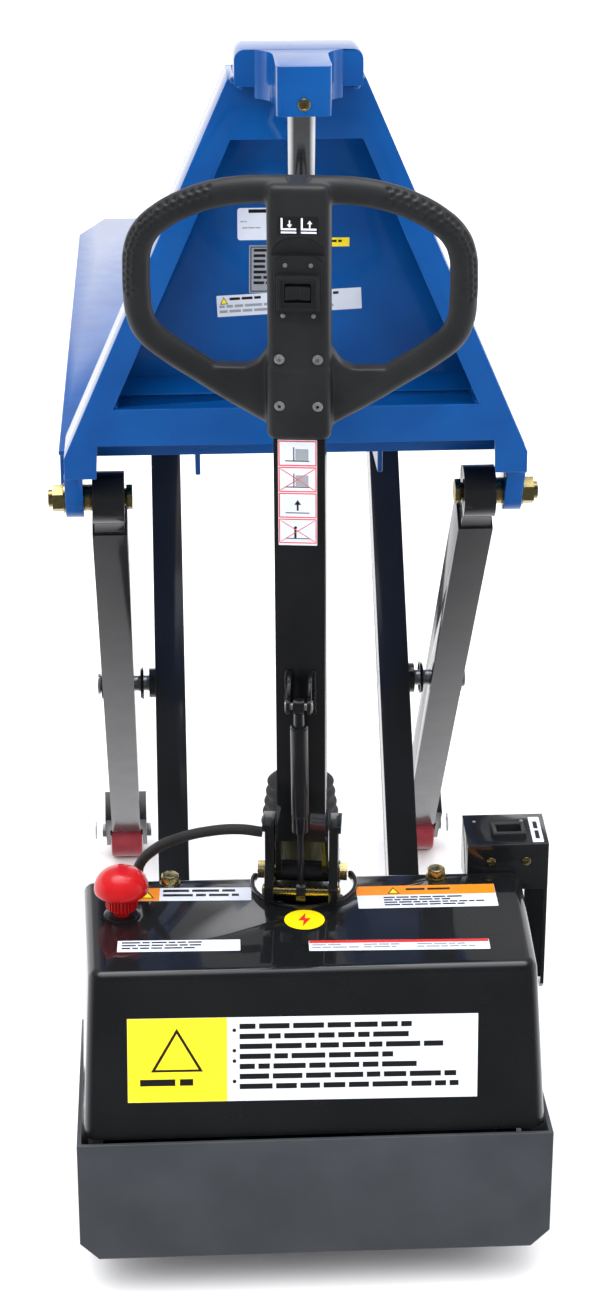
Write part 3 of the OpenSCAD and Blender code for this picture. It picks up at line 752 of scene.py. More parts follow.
@dataclass
class Studio:
    """Floor, light and camera around the machine.

    Attributes:
        eye: Where the camera stands, in the row frame.
        yaw: How far it is turned to the right of the machine's length.
        pitch: How far it looks down.
        lens: Focal length over a 36 mm long side.
        shift: Sideways and upward shift of the picture.
        floor_size: Width of the floor.
    """

    eye: tuple[float, float, float] = (-0.1483, -3.1529, 1.7509)
    yaw: float = math.radians(3.02)
    pitch: float = math.radians(21.86)
    lens: float = 72.52
    shift: tuple[float, float] = (0.0049, -0.0358)
    floor_size: float = 60.0

    def build(self) -> None:
        """Make the camera, the floor, the surroundings and the lamps."""
        self._camera()
        self._floor()
        self._surroundings()
        self._lamp("key_softbox", (-1.6, -2.6, 3.4), (0.0, -0.2, 0.6), (3.0, 2.2), 70.0)
        self._lamp("fill_softbox", (2.6, -2.2, 2.2), (0.0, -0.2, 0.5), (2.4, 2.4), 50.0)
        self._sky_light()
        bpy.context.scene.view_settings.view_transform = "Standard"

    def _camera(self) -> None:
        """Make the camera at its angle."""
        data = bpy.data.cameras.new("camera")
        data.lens = self.lens
        data.sensor_width = 36.0
        data.shift_x, data.shift_y = self.shift
        data.clip_end = 100.0
        camera = bpy.data.objects.new("camera", data)
        bpy.context.scene.collection.objects.link(camera)
        camera.location = self.eye
        camera.rotation_euler = (math.pi / 2 - self.pitch, 0.0, -self.yaw)
        bpy.context.scene.camera = camera

    def _floor(self) -> None:
        """Make the pale floor."""
        bpy.ops.object.select_all(action="DESELECT")
        bpy.ops.mesh.primitive_plane_add(size=self.floor_size)
        floor = bpy.context.object
        floor.name = "floor"
        material = bpy.data.materials.new("pale_floor")
        material.use_nodes = True
        shader = material.node_tree.nodes["Principled BSDF"]
        shader.inputs["Base Color"].default_value = FLOOR_COLOUR
        shader.inputs["Roughness"].default_value = 0.85
        floor.data.materials.append(material)
        floor.visible_glossy = False

    def _surroundings(self) -> None:
        """Make the studio walls: a white backdrop behind the machine, darker above and behind the camera."""
        world = bpy.data.worlds.new("studio")
        bpy.context.scene.world = world
        world.use_nodes = True
        tree = world.node_tree
        place = tree.nodes.new("ShaderNodeTexCoord")
        parts = tree.nodes.new("ShaderNodeSeparateXYZ")
        tree.links.new(place.outputs["Generated"], parts.inputs["Vector"])
        ramp = tree.nodes.new("ShaderNodeValToRGB")
        for index, (where, grey) in enumerate(WALL_GREYS):
            stop = ramp.color_ramp.elements[index] if index < 2 else ramp.color_ramp.elements.new(where)
            stop.position = where
            stop.color = (grey, grey, 1.02 * grey, 1.0)
        tree.links.new(parts.outputs["Z"], ramp.inputs["Fac"])
        behind = tree.nodes.new("ShaderNodeMapRange")
        for name, number in WALL_DEPTH:
            behind.inputs[name].default_value = number
        tree.links.new(parts.outputs["Y"], behind.inputs["Value"])
        shade = tree.nodes.new("ShaderNodeVectorMath")
        shade.operation = "SCALE"
        tree.links.new(ramp.outputs["Color"], shade.inputs[0])
        tree.links.new(behind.outputs["Result"], shade.inputs["Scale"])
        tree.links.new(shade.outputs["Vector"], tree.nodes["Background"].inputs["Color"])

    def _sky_light(self) -> None:
        """Light the whole floor evenly from above, softly enough to leave only a faint shadow."""
        data = bpy.data.lights.new("even_light", "SUN")
        data.energy = 2.6
        data.angle = math.radians(110)
        light = bpy.data.objects.new("even_light", data)
        bpy.context.scene.collection.objects.link(light)
        light.rotation_euler = (math.radians(18), math.radians(-8), 0.0)
        light.visible_glossy = False

    def _lamp(self, name: str, place: Point, aim: Point, size: tuple[float, float], power: float) -> None:
        """Hang one soft lamp, which gives no mirror image of itself.

        Args:
            name: Name of the lamp.
            place: Where it hangs.
            aim: What it points at.
            size: Its width and height.
            power: Its power in watts.
        """
        data = bpy.data.lights.new(name, "AREA")
        data.shape = "RECTANGLE"
        data.size, data.size_y = size
        data.energy = power
        lamp = bpy.data.objects.new(name, data)
        bpy.context.scene.collection.objects.link(lamp)
        lamp.location = place
        lamp.rotation_euler = (Vector(aim) - Vector(place)).to_track_quat("-Z", "Y").to_euler()
        lamp.visible_glossy = False


# ---------------------------------------------------------------- pieces whose shape comes from the frame


@dataclass(frozen=True)
class Fettling:
    """How a frame part's edges are finished.

    Attributes:
        node: The frame part.
        finish: Its finish.
        edge: Width of its rounded edges.
        segments: Steps across each rounded edge.
    """

    node: str
    finish: Finish
    edge: float = 0.0008
    segments: int = 2


class FrameParts:
    """The parts that keep the frame's own shape, with their edges broken and their finish on."""

    def __init__(self, frame: dict) -> None:
        """Remember the frame."""
        self.frame = frame
        self.body_of = {
            node: body for body, nodes in frame["record"]["behaviour"]["bodies"].items() for node in nodes
        }
        self.slot_of = {row["node"]: row["material_slot"] for row in frame["record"]["subparts"]}

    def fettle(self, job: Fettling) -> bpy.types.Object:
        """Copy a frame part, merge it, round its edges and put it in the part's place.

        Args:
            job: The part and how it is finished.

        Returns:
            The finished piece.
        """
        source = self.frame["nodes"][job.node]
        piece = source.copy()
        piece.data = source.data.copy()
        bpy.context.scene.collection.objects.link(piece)
        piece.parent = None
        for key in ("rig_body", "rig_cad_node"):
            del piece[key]
        piece.name = f"{job.node}_finished"
        only(piece)
        if piece.data.has_custom_normals:
            bpy.ops.mesh.customdata_custom_splitnormals_clear()
        with Editing(piece):
            bpy.ops.mesh.remove_doubles(threshold=0.00001)
            bpy.ops.mesh.dissolve_limited(angle_limit=math.radians(1.0))
            bpy.ops.mesh.select_all(action="SELECT")
            bpy.ops.mesh.normals_make_consistent(inside=False)
        if job.edge > 0:
            soften(piece, job.edge, job.segments)
        body, slot = self.body_of[job.node], self.slot_of[job.node]
        return complete(piece, job.finish, body, Matrix.Identity(4), [job.node])


# ---------------------------------------------------------------- printed films


class Shape(Enum):
    """What one printed mark looks like."""

    BAR = "bar"
    TRIANGLE = "triangle"
    ARROW = "arrow"
    DISC = "disc"
    BOLT = "bolt"
    WORDS = "words"
    FRAME = "frame"
    CROSS = "cross"
    FORK = "fork"


@dataclass(frozen=True)
class Mark:
    """One printed mark on a film, in the film's own plane.

    Attributes:
        shape: What it looks like.
        ink: The ink it is printed in.
        low: Its lower left corner.
        high: Its upper right corner.
        rows: Lines of words, or 1.
        turned: Whether an arrow points down.
    """

    shape: Shape
    ink: Finish
    low: tuple[float, float]
    high: tuple[float, float]
    rows: int = 1
    turned: bool = False


class PrintedFilm:
    """A printed film, which faces -Y with its middle at the origin."""

    thickness = 0.00016
    ink_thickness = 0.00007

    def __init__(self, name: str, size: tuple[float, float], ground: Finish, marks: Sequence[Mark] = (),
                 corner: float = 0.0012, seed: int = 1) -> None:
        """Set the film out.

        Args:
            name: Name of the piece.
            size: Its width and height.
            ground: Its ground colour.
            marks: What is printed on it.
            corner: Radius of its corners.
            seed: Start of the random word lengths.
        """
        self.name = name
        self.size = size
        self.ground = ground
        self.marks = marks
        self.corner = corner
        self.random = random.Random(seed)
        self.layers = 0

    def build(self, outline: Sequence[tuple[float, float]] | None = None) -> bpy.types.Object:
        """Build the film.

        Args:
            outline: Its outline where it isn't a rectangle.

        Returns:
            The film with its marks, as one piece.
        """
        wide, high = self.size[0] / 2, self.size[1] / 2
        ground = outline or [(-wide, -high), (wide, -high), (wide, high), (-wide, high)]
        base = self._flat(ground, 0.0, self.thickness, self.ground)
        if outline is None and self.corner > 0:
            with Editing(base) as edit:
                edit.pick("EDGE", lambda middle, way: abs(way.y) > 0.9)
                bpy.ops.mesh.bevel(offset=self.corner, segments=3, affect="EDGES")
        pieces = [base]
        for mark in self.marks:
            pieces.extend(self._mark(mark))
        return joined(self.name, pieces)

    def _flat(self, outline: Sequence[tuple[float, float]], lift: float, thick: float,
              ink: Finish) -> bpy.types.Object:
        """One flat patch of ink.

        Args:
            outline: Its corners.
            lift: How far its back stands in front of the film's back.
            thick: Its thickness.
            ink: Its ink.

        Returns:
            The patch.
        """
        piece = plate("ink", [(x, -lift, z) for x, z in outline], (0.0, -thick, 0.0))
        return dress(piece, ink)

    def _mark(self, mark: Mark) -> list[bpy.types.Object]:
        """Build one mark.

        Args:
            mark: The mark.

        Returns:
            Its patches.
        """
        self.layers += 1
        lift = self.thickness
        thick = self.ink_thickness * (1 + 0.25 * self.layers)
        return [self._flat(outline, lift, thick, mark.ink) for outline in self._outlines(mark)]

    def _outlines(self, mark: Mark) -> list[list[tuple[float, float]]]:
        """The outlines of one mark.

        Args:
            mark: The mark.

        Returns:
            One outline for each patch of ink.
        """
        (x0, z0), (x1, z1) = mark.low, mark.high
        wide, high = x1 - x0, z1 - z0
        if mark.shape is Shape.TRIANGLE:
            return [[(x0, z0), (x1, z0), ((x0 + x1) / 2, z1)]]
        if mark.shape is Shape.DISC:
            turns = [2 * math.pi * step / 40 for step in range(40)]
            return [[((x0 + x1) / 2 + wide / 2 * math.cos(a), (z0 + z1) / 2 + high / 2 * math.sin(a))
                     for a in turns]]
        if mark.shape is Shape.ARROW:
            tip, tail = (z0, z1) if mark.turned else (z1, z0)
            neck = tip + (tail - tip) * 0.45
            mid, stem = (x0 + x1) / 2, 0.13 * wide
            return [[(mid, tip), (x0, neck), (mid - stem, neck), (mid - stem, tail), (mid + stem, tail),
                     (mid + stem, neck), (x1, neck)]]
        if mark.shape is Shape.BOLT:
            shares = ((0.62, 1.0), (0.08, 0.44), (0.44, 0.44), (0.34, 0.0), (0.92, 0.60), (0.54, 0.60))
            return [[(x0 + wide * u, z0 + high * v) for u, v in shares]]
        if mark.shape is Shape.FORK:
            bar = 0.12 * wide
            return [
                [(x0, z0), (x1, z0), (x1, z0 + bar), (x0, z0 + bar)],
                [(x0, z0 + 1.8 * bar), (x1, z0 + 1.8 * bar), (x1, z0 + 2.8 * bar), (x0 + bar, z0 + 2.8 * bar),
                 (x0 + bar, z1), (x0, z1)],
            ]
        if mark.shape is Shape.FRAME:
            bar = 0.0011
            return [
                [(x0, z0), (x1, z0), (x1, z0 + bar), (x0, z0 + bar)],
                [(x0, z1 - bar), (x1, z1 - bar), (x1, z1), (x0, z1)],
                [(x0, z0 + bar), (x0 + bar, z0 + bar), (x0 + bar, z1 - bar), (x0, z1 - bar)],
                [(x1 - bar, z0 + bar), (x1, z0 + bar), (x1, z1 - bar), (x1 - bar, z1 - bar)],
            ]
        if mark.shape is Shape.CROSS:
            bar = 0.0005
            return [
                [(x0, z0 + bar), (x0 + bar, z0), (x1, z1 - bar), (x1 - bar, z1)],
                [(x0, z1 - bar), (x0 + bar, z1), (x1, z0 + bar), (x1 - bar, z0)],
            ]
        if mark.shape is Shape.WORDS:
            return self._words(mark)
        return [[(x0, z0), (x1, z0), (x1, z1), (x0, z1)]]

    def _words(self, mark: Mark) -> list[list[tuple[float, float]]]:
        """Plain strokes that stand for lines of words.

        Args:
            mark: The block of words.

        Returns:
            One outline for each stroke.
        """
        (x0, z0), (x1, z1) = mark.low, mark.high
        pitch = (z1 - z0) / mark.rows
        strokes = []
        for row in range(mark.rows):
            top = z1 - row * pitch
            end = x0 + (x1 - x0) * self.random.uniform(0.62, 1.0)
            left = x0
            while left < end - 0.6 * pitch:
                right = min(end, left + pitch * self.random.uniform(1.0, 3.4))
                low = top - 0.52 * pitch
                strokes.append([(left, low), (right, low), (right, top), (left, top)])
                left = right + 0.34 * pitch
        return strokes


FACING_UP = Matrix.Rotation(-math.pi / 2, 4, "X")


# ---------------------------------------------------------------- small parts that repeat


def arc(centre: tuple[float, float], radius: float, start: float, end: float,
        steps: int) -> list[tuple[float, float]]:
    """Points along an arc.

    Args:
        centre: Its centre.
        radius: Its radius.
        start: Angle of its first point, in degrees.
        end: Angle of its last point, in degrees.
        steps: Steps along it.

    Returns:
        Its points.
    """
    turns = [math.radians(start + (end - start) * step / steps) for step in range(steps + 1)]
    return [(centre[0] + radius * math.cos(a), centre[1] + radius * math.sin(a)) for a in turns]


def hex_head(name: str, flats: float, height: float, washer: float = 0.0) -> bpy.types.Object:
    """A hexagon head with its corners turned off, standing on the origin along Z.

    Args:
        name: Name of the piece.
        flats: Width across its flats.
        height: Its height, without the washer.
        washer: Radius of the washer under it, or 0.

    Returns:
        The head.
    """
    base = 0.0016 if washer else 0.0
    head = rod(name, (0, 0, base), (0, 0, base + height), flats / math.sqrt(3), 6)
    cone = lathe("cone", [(0, -0.001), (0.56 * flats, -0.001), (0.56 * flats, base + 0.78 * height),
                          (0.44 * flats, base + height + 0.0001), (0, base + height + 0.0001)], steps=40)
    carve(head, cone, "INTERSECT")
    soften(head, 0.0003, 1)
    pieces = [head]
    if washer:
        ring = lathe("washer", [(0, 0), (washer, 0), (washer, 0.0012), (washer - 0.0004, base), (0, base)])
        pieces.append(ring)
    return joined(name, pieces)


def socket_screw(name: str, radius: float, height: float, socket: float) -> bpy.types.Object:
    """A domed screw head with a hexagon socket, standing on the origin along Z.

    Args:
        name: Name of the piece.
        radius: Radius of the head.
        height: Height of the head.
        socket: Width of the socket across its flats.

    Returns:
        The head.
    """
    dome = [(radius * math.cos(a), height * 0.35 + height * 0.65 * math.sin(a))
            for a in (math.radians(15 * step) for step in range(7))]
    head = lathe(name, [(0, 0), (radius, 0)] + dome[:-1] + [(0, height)], steps=36)
    carve(head, rod("key", (0, 0, height * 0.3), (0, 0, height * 2), socket / math.sqrt(3), 6))
    return head


def weld_bead(name: str, start: Point, end: Point, radius: float, seed: int = 3) -> bpy.types.Object:
    """A rippled bead of weld, as a row of overlapping puddles.

    Args:
        name: Name of the piece.
        start: Where it starts.
        end: Where it ends.
        radius: Half its width.
        seed: Start of the random unevenness.

    Returns:
        The bead.
    """
    dice = random.Random(seed)
    first, last = Vector(start), Vector(end)
    count = max(3, int((last - first).length / (0.62 * radius)))
    puddles = []
    for step in range(count + 1):
        bpy.ops.object.select_all(action="DESELECT")
        size = radius * dice.uniform(0.86, 1.12)
        bpy.ops.mesh.primitive_uv_sphere_add(segments=12, ring_count=8, radius=size)
        puddle = bpy.context.object
        puddle.location = first.lerp(last, step / count) + Vector(
            [radius * dice.uniform(-0.14, 0.14) for _ in range(3)])
        bpy.ops.object.transform_apply(location=True, rotation=True, scale=True)
        puddles.append(puddle)
    bead = joined(name, puddles)
    use(bead, "REMESH", mode="VOXEL", voxel_size=radius * 0.24)
    use(bead, "SMOOTH", factor=0.5, iterations=3)
    smooth(bead, 60)
    return bead


def tube_along(name: str, points: Sequence[Point], radius: float, sides: int = 6,
               per_leg: int = 8) -> bpy.types.Object:
    """A round tube along a smooth line through points.

    Args:
        name: Name of the piece.
        points: Points that it passes through.
        radius: Its radius.
        sides: A quarter of the sides around it, less one.
        per_leg: Rings between two points.

    Returns:
        The tube, closed at its ends.
    """
    curve = bpy.data.curves.new(name, "CURVE")
    curve.dimensions = "3D"
    spline = curve.splines.new("BEZIER")
    spline.bezier_points.add(len(points) - 1)
    for spot, knot in zip(points, spline.bezier_points):
        knot.co = spot
        knot.handle_left_type = knot.handle_right_type = "AUTO"
    curve.bevel_depth = radius
    curve.bevel_resolution = sides
    curve.resolution_u = per_leg
    curve.use_fill_caps = True
    piece = bpy.data.objects.new(name, curve)
    bpy.context.scene.collection.objects.link(piece)
    only(piece)
    bpy.ops.object.convert(target="MESH")
    piece = bpy.context.object
    with Editing(piece):
        bpy.ops.mesh.remove_doubles(threshold=0.00001)
        bpy.ops.mesh.normals_make_consistent(inside=False)
    smooth(piece, 50)
    return piece


# ---------------------------------------------------------------- tiller head


@dataclass
class TillerHead:
    """The moulded handle on top of the tiller, in the tiller's frame: Z up the tiller, -Y to the operator.

    Attributes:
        grip_radius: Radius of the grip tube.
        sleeve: Lower and upper end of the sleeve that holds the tiller.
        block: Lower and upper end of the middle block.
        sleeve_half: Half width and half depth of the sleeve.
        block_half: Half width and half depth of the block.
        voxel: Size of the cells that blend the moulding.
        dimple: Radius and depth of one grip dimple.
        dimples: How many dimples a row has.
        rest_z: Height of the arched finger rest's flat lower edge.
    """

    grip_radius: float = 0.0140
    sleeve: tuple[float, float] = (0.527, 0.606)
    block: tuple[float, float] = (0.596, 0.7905)
    sleeve_half: tuple[float, float] = (0.0325, 0.0262)
    block_half: tuple[float, float] = (0.0312, 0.0232)
    voxel: float = 0.0016
    dimple: tuple[float, float] = (0.0036, 0.0021)
    dimples: int = 20
    rest_z: float = 0.7215

    def grip_line(self, side: int) -> list[Point]:
        """The middle line of one half of the loop.

        Args:
            side: -1 for the left half, 1 for the right.

        Returns:
            Points from the top of the block round to the sleeve.
        """
        line = ((0.010, 0.781), (0.055, 0.780), (0.084, 0.775), (0.110, 0.766), (0.135, 0.752),
                (0.151, 0.737), (0.159, 0.719), (0.161, 0.697), (0.161, 0.672), (0.159, 0.651),
                (0.152, 0.634), (0.131, 0.615), (0.099, 0.5935), (0.066, 0.572), (0.020, 0.545))
        return [(side * x, 0.0, z) for x, z in line]

    def build(self) -> None:
        """Build the head with its switch, stickers and screws."""
        self._moulding()
        self._screws()
        self._switch()
        self._rocker()
        self._sticker()

    def _moulding(self) -> None:
        """Blend the loop, its webs and the head into one moulding."""
        pieces = [self._block(self.sleeve, self.sleeve_half, 0.009),
                  self._block(self.block, self.block_half, 0.009)]
        for side in (-1, 1):
            pieces.append(tube_along("grip", self.grip_line(side), self.grip_radius, 8))
            web = ((0.028, 0.536), (0.098, 0.5790), (0.086, 0.5990), (0.071, 0.5990), (0.054, 0.5985),
                   (0.041, 0.604), (0.0335, 0.616), (0.028, 0.620))
            flat = plate("web", [(side * x, -0.0105, z) for x, z in web], (0, 0.021, 0))
            soften(flat, 0.003, 2)
            pieces.append(flat)
        moulding = joined("handle_moulding", pieces)
        use(moulding, "REMESH", mode="VOXEL", voxel_size=self.voxel)
        use(moulding, "SMOOTH", factor=0.5, iterations=14)
        carve(moulding, self._scoop())
        self._press_dimples(moulding)
        stands_for = ["handle_head", "handle_loop"]
        complete(moulding, HANDLE, "tiller", Places.tiller, stands_for, 70)

    def _block(self, ends: tuple[float, float], half: tuple[float, float], corner: float) -> bpy.types.Object:
        """One straight stretch of the head with round corners.

        Args:
            ends: Its lower and upper end.
            half: Its half width and half depth.
            corner: Radius of its upright corners.

        Returns:
            The stretch.
        """
        piece = block("stretch", (-half[0], -half[1], ends[0]), (half[0], half[1], ends[1]))
        with Editing(piece) as edit:
            edit.pick("EDGE", lambda middle, way: abs(way.z) > 0.9)
            bpy.ops.mesh.bevel(offset=corner, segments=5, affect="EDGES")
            edit.pick("FACE", lambda middle, normal: normal.z < -0.9)
            bpy.ops.mesh.bevel(offset=0.006, segments=2, affect="EDGES")
            edit.pick("FACE", lambda middle, normal: normal.z > 0.9)
            bpy.ops.mesh.bevel(offset=0.007, segments=4, affect="EDGES")
        return piece

    def _scoop(self) -> bpy.types.Object:
        """The cutter of the arched finger rest over the switch.

        Returns:
            The upper half of a flat ball.
        """
        bpy.ops.object.select_all(action="DESELECT")
        bpy.ops.mesh.primitive_uv_sphere_add(segments=48, ring_count=24, radius=1)
        scoop = bpy.context.object
        scoop.scale = (0.0275, 0.0062, 0.0200)
        scoop.location = (0.0, -self.block_half[1] - 0.0004, self.rest_z)
        bpy.ops.object.transform_apply(location=True, rotation=True, scale=True)
        with Editing(scoop):
            bpy.ops.mesh.bisect(plane_co=(0, 0, self.rest_z), plane_no=(0, 0, 1), clear_inner=True,
                                use_fill=True)
        return scoop

    def _press_dimples(self, moulding: bpy.types.Object) -> None:
        """Press three staggered rows of dimples into the upper corners of the grip.

        Args:
            moulding: The moulding that they are pressed into.
        """
        spots: list[tuple[Vector, Vector]] = []
        for side in (-1, 1):
            line = [Vector(spot) for spot in self.grip_line(side)[2:9]]
            for row, turn in enumerate((-38.0, -64.0, -90.0)):
                reach = 0.5 * (row % 2)
                for step in range(self.dimples):
                    share = (step + reach) / self.dimples * (len(line) - 1)
                    leg = min(int(share), len(line) - 2)
                    middle = line[leg].lerp(line[leg + 1], share - leg)
                    along = (line[leg + 1] - line[leg]).normalized()
                    outward = Vector((along.z, 0.0, -along.x)) * side
                    if outward.dot(middle - Vector((0, 0, 0.69))) < 0:
                        outward.negate()
                    angle = math.radians(turn)
                    normal = outward * math.cos(angle) + Vector((0, 1, 0)) * math.sin(angle)
                    spots.append((middle + normal.normalized() * self.grip_radius, normal.normalized()))
        radius, depth = self.dimple
        for vertex in moulding.data.vertices:
            place = vertex.co
            if abs(place.x) < 0.06 or place.z < 0.66:
                continue
            for spot, normal in spots:
                reach = (place - spot).length
                if reach < radius:
                    vertex.co = place - normal * depth * (1 - (reach / radius) ** 2)
                    break

    def _screws(self) -> None:
        """Fit the four screws that clamp the sleeve on the tiller."""
        first = socket_screw("head_screw", 0.0052, 0.0030, 0.0034)
        soften(first, 0.00025, 1)
        rows = ((0.565, self.sleeve_half[1]), (0.614, self.block_half[1] + 0.001))
        moves = [Matrix.Translation((column, -depth + 0.0012, height)) @ TO_FRONT
                 for column in (-0.019, 0.019) for height, depth in rows]
        screws = spread("clamp_screws", first, moves)
        complete(screws, STEEL, "tiller", Places.tiller, ["head_screws"])

    def _switch(self) -> None:
        """Build the switch panel with its raised housing, and the four small screws in it."""
        front = -self.block_half[1]
        outline = [(-0.0235, 0.6550), (0.0235, 0.6550), (0.0235, 0.7040)]
        outline += arc((0.0125, 0.7110), 0.0110, 0, 90, 6) + arc((-0.0125, 0.7110), 0.0110, 90, 180, 6)
        outline += [(-0.0235, 0.7040)]
        panel = plate("panel", [(x, front + 0.001, z) for x, z in outline], (0, -0.0030, 0))
        soften(panel, 0.0009, 2)
        housing = block("housing", (-0.0208, front - 0.0075, 0.6670), (0.0208, front - 0.001, 0.7035))
        with Editing(housing) as edit:
            edit.pick("FACE", lambda middle, normal: normal.y < -0.9)
            bpy.ops.mesh.inset(thickness=0.0016, depth=0.0)
            bpy.ops.mesh.extrude_region_move(TRANSFORM_OT_translate={"value": (0, -0.0012, 0)})
            bpy.ops.mesh.inset(thickness=0.0028, depth=0.0)
            bpy.ops.mesh.extrude_region_move(TRANSFORM_OT_translate={"value": (0, 0.0016, 0)})
        soften(housing, 0.0006, 2)
        well = block("well", (-0.0130, front - 0.02, 0.6760), (0.0130, front - 0.0005, 0.6960))
        carve(housing, well)
        switch = joined("switch_panel_moulding", [panel, housing])
        complete(switch, SWITCH, "tiller", Places.tiller, ["switch_panel"])
        first = socket_screw("panel_screw", 0.0022, 0.0012, 0.0014)
        spots = ((-0.0125, 0.7125), (0.0125, 0.7125), (-0.0150, 0.6605), (0.0150, 0.6605))
        moves = [Matrix.Translation((column, front - 0.0018, height)) @ TO_FRONT for column, height in spots]
        complete(spread("panel_screws", first, moves), STEEL, "tiller", Places.tiller)

    def _rocker(self) -> None:
        """Build the lift rocker, its face hollowed towards the middle, with a ridge on its right half."""
        front = -self.block_half[1]
        middle = 0.6860
        rocker = block("rocker_cap", (-0.0122, front - 0.0098, middle - 0.0066),
                       (0.0122, front - 0.0034, middle + 0.0066))
        with Editing(rocker) as edit:
            edit.pick("FACE", lambda spot, normal: normal.y < -0.9)
            bpy.ops.mesh.subdivide(number_cuts=7)
        for vertex in rocker.data.vertices:
            if vertex.co.y < front - 0.009:
                bow = math.cos(math.pi * vertex.co.x / 0.0122)
                vertex.co.y += 0.0011 * (1 + bow)
        soften(rocker, 0.0005, 2)
        ridge = block("ridge", (0.0024, front - 0.0086, middle - 0.0052),
                      (0.0098, front - 0.0070, middle + 0.0052))
        soften(ridge, 0.0004, 2)
        cap = joined("rocker_cap", [rocker, ridge])
        complete(cap, SWITCH, "rocker", Places.tiller, ["lift_rocker"])

    def _sticker(self) -> None:
        """Print the raise and lower signs over the finger rest."""
        marks = [
            Mark(Shape.FORK, WHITE_FILM, (-0.0165, -0.0075), (-0.0015, 0.0080)),
            Mark(Shape.ARROW, WHITE_FILM, (-0.0105, -0.0020), (-0.0055, 0.0055), turned=True),
            Mark(Shape.FORK, WHITE_FILM, (0.0030, -0.0075), (0.0180, 0.0080)),
            Mark(Shape.ARROW, WHITE_FILM, (0.0090, -0.0020), (0.0140, 0.0055)),
        ]
        sticker = PrintedFilm("lift_sign", (0.0400, 0.0190), BLACK_FILM, marks).build()
        place = Matrix.Translation((0.0, -self.block_half[1] + 0.0001, 0.7520))
        settle(sticker, "tiller", Places.tiller @ place)


# ---------------------------------------------------------------- power pack


